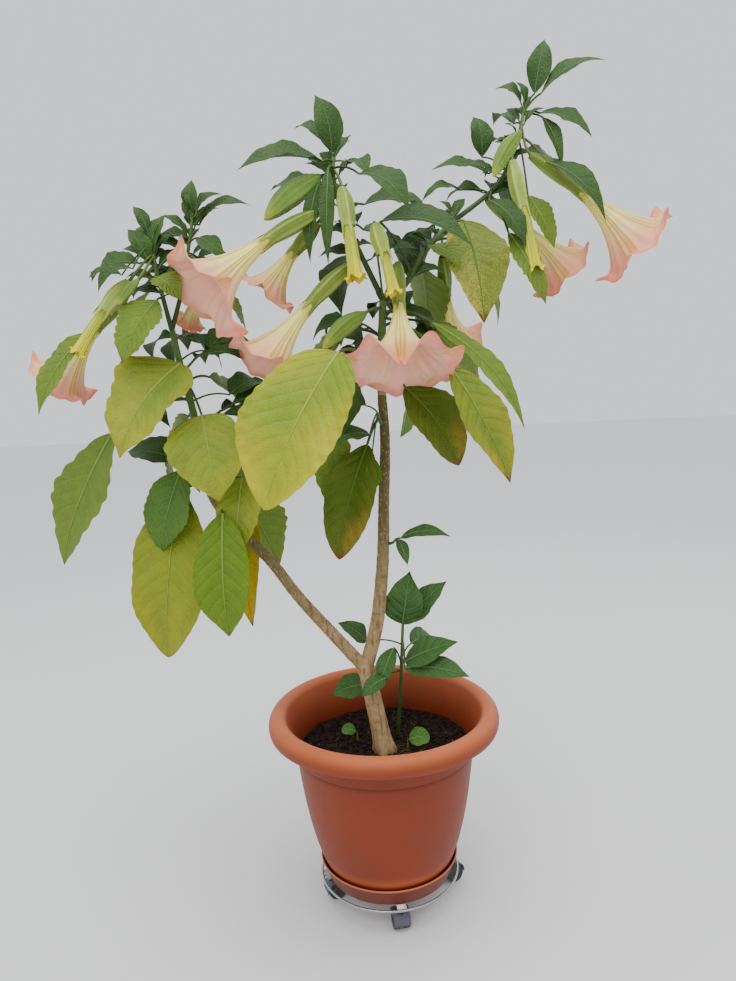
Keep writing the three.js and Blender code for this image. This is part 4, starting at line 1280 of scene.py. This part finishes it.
def crumb(pile, chance):
    """A loose crumb on the soil, or a pale chip."""
    reach = SOIL_RADIUS * 0.97 * math.sqrt(chance.random())
    bearing = chance.uniform(0, 2 * math.pi)
    pale = chance.random() < PALE_CHIPS
    size = chance.uniform(0.5, 1.3) if pale else chance.uniform(0.7, 2.6)
    spin = Matrix.Rotation(chance.uniform(0, 3), 3, Vector((chance.random(), 1, chance.random())))
    lump = CRUMB_CORNERS * np.array([[chance.uniform(0.5, 1.1) for _ in range(3)] for _ in range(8)])
    place = np.array([reach * math.cos(bearing), reach * math.sin(bearing), 0])
    place[2] = SOIL_HEIGHT - 2.4 + soil_rise(place[None], SOIL_RELIEF[:1])[0] + 0.3 * size
    colour = CHIP if pale else mix(SOIL_DARK, SOIL_LIGHT, chance.random())
    pile.add(lump @ np.array(spin) * size + place, CRUMB_SIDES, colour)


def fibre(pile, chance):
    """A short bent fibre on the soil, before the trunk on its right."""
    x, y = (chance.gauss(*way) for way in zip(FIBRE_MIDDLE, FIBRE_SPREAD))
    centre = np.array([x, y, SOIL_HEIGHT + 0.6])
    if math.hypot(x, y) > SOIL_RADIUS - 14:
        return
    bearing = chance.uniform(0, 2 * math.pi)
    along = np.array([math.cos(bearing), math.sin(bearing), 0]) * chance.uniform(3, 9)
    bow = np.array([-along[1], along[0], 4]) * chance.uniform(-0.3, 0.3)
    t = np.linspace(-1, 1, 7)[:, None]
    colour = mix(FIBRE_DARK, FIBRE_LIGHT, chance.random())
    tube(pile, centre + along * t + bow * (1 - t**2), 0.35, 4, colour)


def loose_soil(chance):
    """Crumbs, chips and fibres that lie on the soil."""
    pile = Pile()
    for _ in range(CRUMBS):
        crumb(pile, chance)
    for _ in range(FIBRES):
        fibre(pile, chance)
    return pile


# Ring trolley and casters
WIRE_STEEL = srgb(190, 190, 192)
BAR_STEEL = srgb(178, 178, 180)
BOSS_STEEL = srgb(168, 168, 172)
PIN_STEEL = srgb(170, 170, 172)
AXLE_STEEL = srgb(150, 150, 152)
HOOD_GREY = srgb(92, 93, 104)
WEB_GREY = srgb(80, 81, 92)
TYRE_GREY = srgb(56, 56, 62)
SMALL_SEGMENTS = 40


def caster_out(index):
    """The direction of a caster from the axis."""
    return heading(CASTER_BEARING + 360 / CASTERS * index, 0)


def placed(points, index):
    """Points of a caster, from its own place at the origin to its swivel point."""
    x, y, _ = heading(CASTER_TRAILS[index], 0)
    spin = np.array([[x, y, 0], [-y, x, 0], [0, 0, 1]])
    return points.reshape(-1, 3) @ spin + caster_out(index) * SWIVEL_RADIUS


def bar_loop(half_wide, low, high, rounding):
    """A flat bar's cross-section with rounded corners."""
    loop = []
    middle = (high + low) / 2
    for corner, (y, z) in enumerate([(1, 1), (-1, 1), (-1, -1), (1, -1)]):
        for step in range(4):
            angle = math.pi / 2 * (corner + step / 3)
            loop.append([
                y * (half_wide - rounding) + rounding * math.cos(angle),
                middle + z * ((high - low) / 2 - rounding) + rounding * math.sin(angle),
            ])
    return loop


def trolley():
    """The wire ring, the two bars across it and the bosses that hold the casters' stems."""
    pile = Pile()
    a, b = np.meshgrid(circle(144), circle(16), indexing="ij")
    reach = RING_RADIUS + WIRE_RADIUS * np.cos(b)
    ring = np.stack([reach * np.cos(a), reach * np.sin(a), RING_HEIGHT + WIRE_RADIUS * np.sin(b)], -1)
    pile.add(ring, grid(144, 16, True, True), WIRE_STEEL)
    loop = bar_loop(BAR_WIDTH / 2, BAR_TOP - BAR_THICK, BAR_TOP, 0.7)
    layers = capped(loop, np.array([0, BAR_TOP - BAR_THICK / 2]), [-RING_RADIUS, RING_RADIUS])
    for index in range(CASTERS // 2):
        along = caster_out(index)
        aside = np.array([-along[1], along[0], 0])
        points = layers @ np.array([aside, [0, 0, 1], along])
        pile.add(points, grid(4, len(loop), True), BAR_STEEL)
    boss, quads = turned([
        [ON_AXIS, BOSS_FOOT], [BOSS_RADIUS - 0.8, BOSS_FOOT], [BOSS_RADIUS, BOSS_FOOT + 0.8],
        [BOSS_RADIUS, BAR_TOP - 2], [ON_AXIS, BAR_TOP - 2],
    ], SMALL_SEGMENTS, MIRRORED)
    for index in range(CASTERS):
        pile.add(boss + caster_out(index) * SWIVEL_RADIUS, quads, BOSS_STEEL)
    return pile


def hood(index):
    """The swivelling hood: a rounded arch over the wheels, and the web between them."""
    pile = Pile()
    inner, inner_half = HOOD_RADIUS - HOOD_WALL, HOOD_HALF - 0.6
    wall = [
        (HOOD_RADIUS, -HOOD_HALF + 2.2), (HOOD_RADIUS, HOOD_HALF - 2.2),
        (HOOD_RADIUS - 0.6, HOOD_HALF - 0.7), (HOOD_RADIUS - 1.6, HOOD_HALF), (inner, inner_half),
        (inner, 0), (inner, -inner_half), (HOOD_RADIUS - 1.6, -HOOD_HALF),
        (HOOD_RADIUS - 0.6, -HOOD_HALF + 0.7),
    ]
    angles = np.radians(np.linspace(-5, 185, 40))
    radius, y, angle = capped(wall, np.mean(wall, 0), angles).T
    arch = np.stack([TRAIL + radius * np.cos(angle), y, WHEEL_RADIUS + radius * np.sin(angle)], -1)
    pile.add(placed(arch, index), grid(len(angles) + 2, len(wall), True), HOOD_GREY)
    bends = [(HOOD_RADIUS - 1, x) for x in np.linspace(0.1, math.pi - 0.1, 16)]
    bends += [(6, x) for x in np.linspace(math.pi, 2 * math.pi, 10)]
    loop = [[TRAIL + reach * math.cos(x), WHEEL_RADIUS + reach * math.sin(x)] for reach, x in bends]
    web = capped(loop, np.array([TRAIL, WHEEL_RADIUS + 2]), [-WEB_HALF, WEB_HALF])[:, [0, 2, 1]]
    pile.add(placed(web, index), grid(4, len(loop), True), WEB_GREY)
    return pile


def caster_pin(index):
    """The steel stem of a hood."""
    low = WHEEL_RADIUS + HOOD_RADIUS - 4
    rings, quads = turned([
        [ON_AXIS, low], [STEM_RADIUS, low], [STEM_RADIUS, STEM_TOP - 0.5], [STEM_RADIUS - 0.5, STEM_TOP],
        [ON_AXIS, STEM_TOP],
    ], SMALL_SEGMENTS, MIRRORED)
    pile = Pile()
    pile.add(placed(rings, index), quads, PIN_STEEL)
    return pile


def wheel_pair(index):
    """Both wheels: crowned treads, dished faces and a hub."""
    radius, inner, outer = WHEEL_RADIUS, WHEEL_INNER, WHEEL_OUTER
    wheel = np.array([
        [ON_AXIS, inner], [radius - 1.2, inner], [radius - 0.3, inner + 0.5], [radius, inner + 2],
        [radius, outer - 2], [radius - 0.4, outer - 0.6], [radius - 1.4, outer], [radius - 3, outer],
        [radius - 3.6, outer - 1], [5.5, outer - 1], [5, outer], [3.4, outer], [3, outer - 0.6],
        [ON_AXIS, outer - 0.6],
    ])
    axle = [[ON_AXIS, -4], [2.2, -4], [2.2, 4], [ON_AXIS, 4]]
    pile = Pile()
    for profile, order, colour in (
        (wheel * [1, -1], 1, TYRE_GREY), (wheel, -1, TYRE_GREY), (axle, 1, AXLE_STEEL)
    ):
        rings, quads = turned(profile, SMALL_SEGMENTS, ABOUT_Y)
        pile.add(placed(rings + [TRAIL, 0, WHEEL_RADIUS], index), quads[:, ::order], colour)
    return pile


# Materials
class Skin:
    """A material and its shader, with plain values on its own sockets."""

    def __init__(self, name, roughness, specular=0.5, metallic=0.0):
        self.material = bpy.data.materials.new(name)
        self.material.use_nodes = True
        self.tree = self.material.node_tree
        self.shader = self.tree.nodes["Principled BSDF"]
        self.feed(self.shader, "Roughness", roughness)
        self.feed(self.shader, "Specular IOR Level", specular)
        self.feed(self.shader, "Metallic", metallic)

    def feed(self, node, key, value):
        """Sets a node's input, or links a socket to it."""
        if isinstance(value, bpy.types.NodeSocket):
            self.tree.links.new(value, node.inputs[key])
        else:
            node.inputs[key].default_value = value

    def node(self, kind, inputs=(), **settings):
        """A new node. Its inputs are plain values or sockets, by name or number."""
        made = self.tree.nodes.new("ShaderNode" + kind)
        for key, value in settings.items():
            setattr(made, key, value)
        for key, value in dict(inputs).items():
            self.feed(made, key, value)
        return made

    def maths(self, operation, *values):
        return self.node("Math", enumerate(values), operation=operation).outputs[0]

    def levels(self, value, low, high, start=0.0, end=1.0, interpolation="SMOOTHSTEP"):
        """A value's way from one level to another, as a share between two numbers."""
        inputs = {"Value": value, "From Min": low, "From Max": high, "To Min": start, "To Max": end}
        return self.node("MapRange", inputs, interpolation_type=interpolation).outputs["Result"]

    def patches(self, vector, scale, detail):
        """Uneven patches at a scale."""
        return self.node("TexNoise", {"Vector": vector, "Scale": scale, "Detail": detail}).outputs["Fac"]

    def tinted(self, base, tint, share):
        """A colour mixed towards a plain one by a socket's share."""
        return self.node("Mix", {0: share, 6: base, 7: (*tint, 1)}, data_type="RGBA").outputs[2]

    def mottled(self, scale, low, high):
        """The mesh's own colour brightened and darkened by patches, which come with it."""
        self.place = self.node("TexCoord").outputs["Object"]
        shade = self.node("Attribute", attribute_name="shade").outputs["Color"]
        spread = self.patches(self.place, scale, 4.0)
        level = self.levels(spread, 0.3, 0.7, low, high, "LINEAR")
        scaled = self.node("VectorMath", {0: shade, "Scale": level}, operation="SCALE")
        return scaled.outputs["Vector"], spread

    def finished(self, colour, gloss, heights, distance):
        """Takes the colour, the roughness, and the relief of some (socket, share) heights."""
        total = None
        for socket, share in heights:
            scaled = self.maths("MULTIPLY", socket, share)
            total = scaled if total is None else self.maths("ADD", total, scaled)
        bump = self.node("Bump", {"Height": total, "Distance": distance})
        self.feed(self.shader, "Base Color", colour)
        self.feed(self.shader, "Roughness", gloss)
        self.feed(self.shader, "Normal", bump.outputs["Normal"])
        return self


def shaded(name, roughness, specular, mottle, grain, distance, spread=0.1, metallic=0.0):
    """A skin that takes its colour from the mesh, mottled, with varied roughness and relief.

    mottle is (scale, low, high) and grain is [(scale, share), ...] of the relief.
    """
    skin = Skin(name, roughness, specular, metallic)
    skin.colour, patches = skin.mottled(*mottle)
    gloss = skin.levels(patches, 0, 1, roughness - spread, roughness + spread, "LINEAR")
    heights = [(skin.patches(skin.place, scale, 3.0), share) for scale, share in grain]
    return skin.finished(skin.colour, gloss, heights, distance)


def leaf_skin(name, look):
    """Leaf skin: pale side veins that sweep to the tip, a faint net between them, a soft gloss."""
    skin = Skin(f"leaf_{name}", 0.5, LEAF_SPECULAR)
    colour, patches = skin.mottled(55.0, 0.9, 1.1)
    places = skin.node("Attribute", attribute_name="blade").outputs["Vector"]
    along, across, sweep = skin.node("SeparateXYZ", {0: places}).outputs
    aside = skin.maths("ABSOLUTE", across)
    swept = skin.maths("MULTIPLY", skin.maths("POWER", aside, VEIN_CURVE), sweep)
    shifted = skin.maths("MULTIPLY", skin.maths("SIGN", across), VEIN_SHIFT)
    course = skin.maths("ADD", skin.maths("SUBTRACT", along, swept), shifted)
    beat = skin.maths("ADD", skin.maths("MULTIPLY", course, look.pairs), 0.5)
    off = skin.maths("ABSOLUTE", skin.maths("SUBTRACT", skin.maths("FRACT", beat), 0.5))
    line, fading = skin.levels(off, 0.012, 0.07, 1, 0), skin.levels(aside, 0.75, 1, 1, 0.2)
    vein_strength = VEIN_STRENGTH * (0.4 + 0.6 * look.quilt)
    vein = skin.maths("MULTIPLY", skin.maths("MULTIPLY", line, fading), vein_strength)
    colour = skin.tinted(colour, look.vein, vein)
    cells = skin.node("TexVoronoi", {"Vector": skin.place, "Scale": 210}, feature="DISTANCE_TO_EDGE")
    net = cells.outputs["Distance"]
    net_strength = {"gold": 0.75, "olive": 0.3}.get(name, 0.16)
    thread = skin.maths("MULTIPLY", skin.levels(net, 0, 0.12, 1, 0), net_strength)
    colour = skin.tinted(colour, GOLD_NET if name == "gold" else look.vein, thread)
    gloss = skin.levels(patches, 0.3, 0.7, 0.42, 0.6)
    quilt, wrinkles = skin.levels(off, 0, 0.35), skin.patches(skin.place, 330, 2)
    return skin.finished(colour, gloss, [(quilt, look.quilt), (net, 1.0), (wrinkles, 1.2)], 0.0011)


def bark_skin():
    """Bark skin: dark streaks and pale dots, both drawn out along the limbs."""
    skin = shaded(
        "bark_skin", 0.85, 0.25, (160.0, 0.84, 1.12), [(420.0, 1.0), (1300.0, 0.4)], 0.001, 0.08
    )
    long, short = (
        skin.node("VectorMath", {0: skin.place, 1: (1, 1, share)}, operation="MULTIPLY").outputs[0]
        for share in (0.12, 0.5)
    )
    streaks = skin.levels(skin.patches(long, 190, 3), 0.5, 0.7, 0, 0.65)
    dots = skin.node("TexVoronoi", {"Vector": short, "Scale": 230}).outputs["Distance"]
    colour = skin.tinted(skin.colour, BARK_STREAK, streaks)
    colour = skin.tinted(colour, BARK_DOT, skin.levels(dots, 0.14, 0.3, 0.6, 0))
    skin.feed(skin.shader, "Base Color", colour)
    return skin


# Growing the plant
chance = random.Random(SEED)
for shoot in SHOOTS:
    grow(shoot, chance)
for twig in SIDE_TWIGS:
    grow_twig(side_twig_line(twig), twig, chance)
grow_twig(Track(FOOT_SHOOT["points"]), FOOT_SHOOT, chance)
for sprout in SPROUTS:
    grow_sprout(sprout, chance)
MASSES = [mass["name"] for mass in [*SHOOTS, *SIDE_TWIGS, FOOT_SHOOT, *SPROUTS]]


def plant_piece(name, pile, skin):
    """A piece of the plant's foliage, which stands for all its masses."""
    piece(name, pile, skin, MASSES)


bark(bark_skin())
stem_skin = shaded("stem_skin", 0.5, 0.35, (120.0, 0.8, 1.18), [(500.0, 1.0)], 0.0004)
plant_piece("stems", STEMS, stem_skin)
plant_piece("stalks", STALKS, stem_skin)
vein_skin = shaded("vein_skin", 0.5, 0.3, (90.0, 0.9, 1.1), [(600.0, 1.0)], 0.0002)
plant_piece("leaf_veins", VEINS, vein_skin)
for look, pile in LEAVES.items():
    plant_piece(f"leaves_{look}", pile, leaf_skin(look, LOOKS[look]))
petal_skin = shaded("petal_skin", 0.55, 0.3, (55.0, 0.93, 1.06), [(260.0, 1.0), (900.0, 0.3)], 0.0004)
plant_piece("blooms", BLOOMS, petal_skin)
plant_piece("bloom_linings", LININGS, petal_skin)
sheath_skin = shaded("sheath_skin", 0.5, 0.35, (80.0, 0.88, 1.1), [(420.0, 1.0)], 0.0004)
plant_piece("sheaths_and_buds", SHEATHS, sheath_skin)

# Pot and what carries it
pot_skin = shaded("pot_plastic", 0.5, 0.3, (9.0, 0.9, 1.08), [(700.0, 1.0), (30.0, 0.6)], 0.0002, 0.06)
piece("pot_shell", pot(), pot_skin, ["pot"])
piece("saucer_shell", saucer(), pot_skin, ["saucer"])
soil_skin = shaded("soil_skin", 0.95, 0.2, (260.0, 0.5, 1.5), [(300.0, 1.0), (900.0, 0.8)], 0.003, 0.04)
piece("soil_top", soil(), soil_skin, ["soil"])
piece("soil_crumbs", loose_soil(chance), soil_skin)
steel = shaded("ring_steel", 0.28, 0.5, (40.0, 0.92, 1.06), [(900.0, 1.0)], 0.0001, 0.08, 1.0)
piece("ring_and_bars", trolley(), steel, ["ring_trolley"])
grey = shaded("caster_grey", 0.45, 0.45, (60.0, 0.92, 1.08), [(1100.0, 1.0)], 0.0001)
for index in range(CASTERS):
    number = index + 1
    body = f"hood_{number}"
    piece(f"hood_shell_{number}", hood(index), grey, [f"caster_{number}"], body)
    piece(f"caster_pin_{number}", caster_pin(index), steel, (), body)
    piece(
        f"wheel_shells_{number}", wheel_pair(index), grey, [f"wheels_{number}"],
        f"wheel_pair_{number}",
    )

# Floor, light and camera
FLOOR_HALF = 14.0
FLOOR_COLOUR = (0.86, 0.86, 0.85, 1)
SKY_COLOUR = (0.86, 0.89, 0.93, 1)
SKY_STRENGTH = 1.15
LAMPS = [  # name, place, height it aims at, size, power and colour
    ("sky", (0.2, -0.7, 3.4), 0.7, 2.6, 56, (1.0, 0.99, 0.97)),
    ("front", (-1.1, -2.7, 2.6), 0.9, 2.0, 24, (1.0, 0.98, 0.95)),
    ("back", (1.6, 2.2, 2.2), 0.9, 2.0, 6, (1, 1, 1)),
]
floor_mesh = bpy.data.meshes.new("floor")
floor_corners = [(x * FLOOR_HALF, y * FLOOR_HALF, 0) for x, y in ((-1, -1), (1, -1), (1, 1), (-1, 1))]
floor_mesh.from_pydata(floor_corners, [], [(0, 1, 2, 3)])
floor_skin = Skin("floor_pale", 0.8, 0.2)
floor_skin.feed(floor_skin.shader, "Base Color", FLOOR_COLOUR)
floor_mesh.materials.append(floor_skin.material)
put("floor", floor_mesh)

for name, place, aim, size, power, colour in LAMPS:
    lamp = bpy.data.lights.new(name, "AREA")
    lamp.shape = "DISK"
    lamp.size = size
    lamp.energy = power
    lamp.color = colour
    light = put(name, lamp)
    light.location = place
    light.rotation_euler = (Vector((0, 0, aim)) - Vector(place)).to_track_quat("-Z", "Y").to_euler()

world = bpy.data.worlds.new("studio")
bpy.context.scene.world = world
world.use_nodes = True
background = world.node_tree.nodes["Background"]
background.inputs["Color"].default_value = SKY_COLOUR
background.inputs["Strength"].default_value = SKY_STRENGTH

# The photograph's camera, fitted to the pot and its ring
FOCAL_PIXELS = 737
PHOTO_HEIGHT = 981
SENSOR = 24
CAMERA_PLACE = np.array([-10, -1228, 904]) * MM + AXIS
CAMERA_PITCH = math.radians(8)
CAMERA_ROLL = math.radians(2.5)
lens = bpy.data.cameras.new("camera")
lens.sensor_fit = "VERTICAL"
lens.sensor_height = SENSOR
lens.lens = FOCAL_PIXELS / PHOTO_HEIGHT * SENSOR
lens.clip_start = 0.05
camera = put("camera", lens)
forward = Vector((0, math.cos(CAMERA_PITCH), -math.sin(CAMERA_PITCH)))
level_right = Vector((1, 0, 0))
level_up = Vector((0, math.sin(CAMERA_PITCH), math.cos(CAMERA_PITCH)))
right = math.cos(CAMERA_ROLL) * level_right - math.sin(CAMERA_ROLL) * level_up
up = math.sin(CAMERA_ROLL) * level_right + math.cos(CAMERA_ROLL) * level_up
camera.matrix_world = Matrix([
    *((right[k], up[k], -forward[k], CAMERA_PLACE[k]) for k in range(3)), (0, 0, 0, 1)
])
bpy.context.scene.camera = camera

bpy.context.view_layer.update()
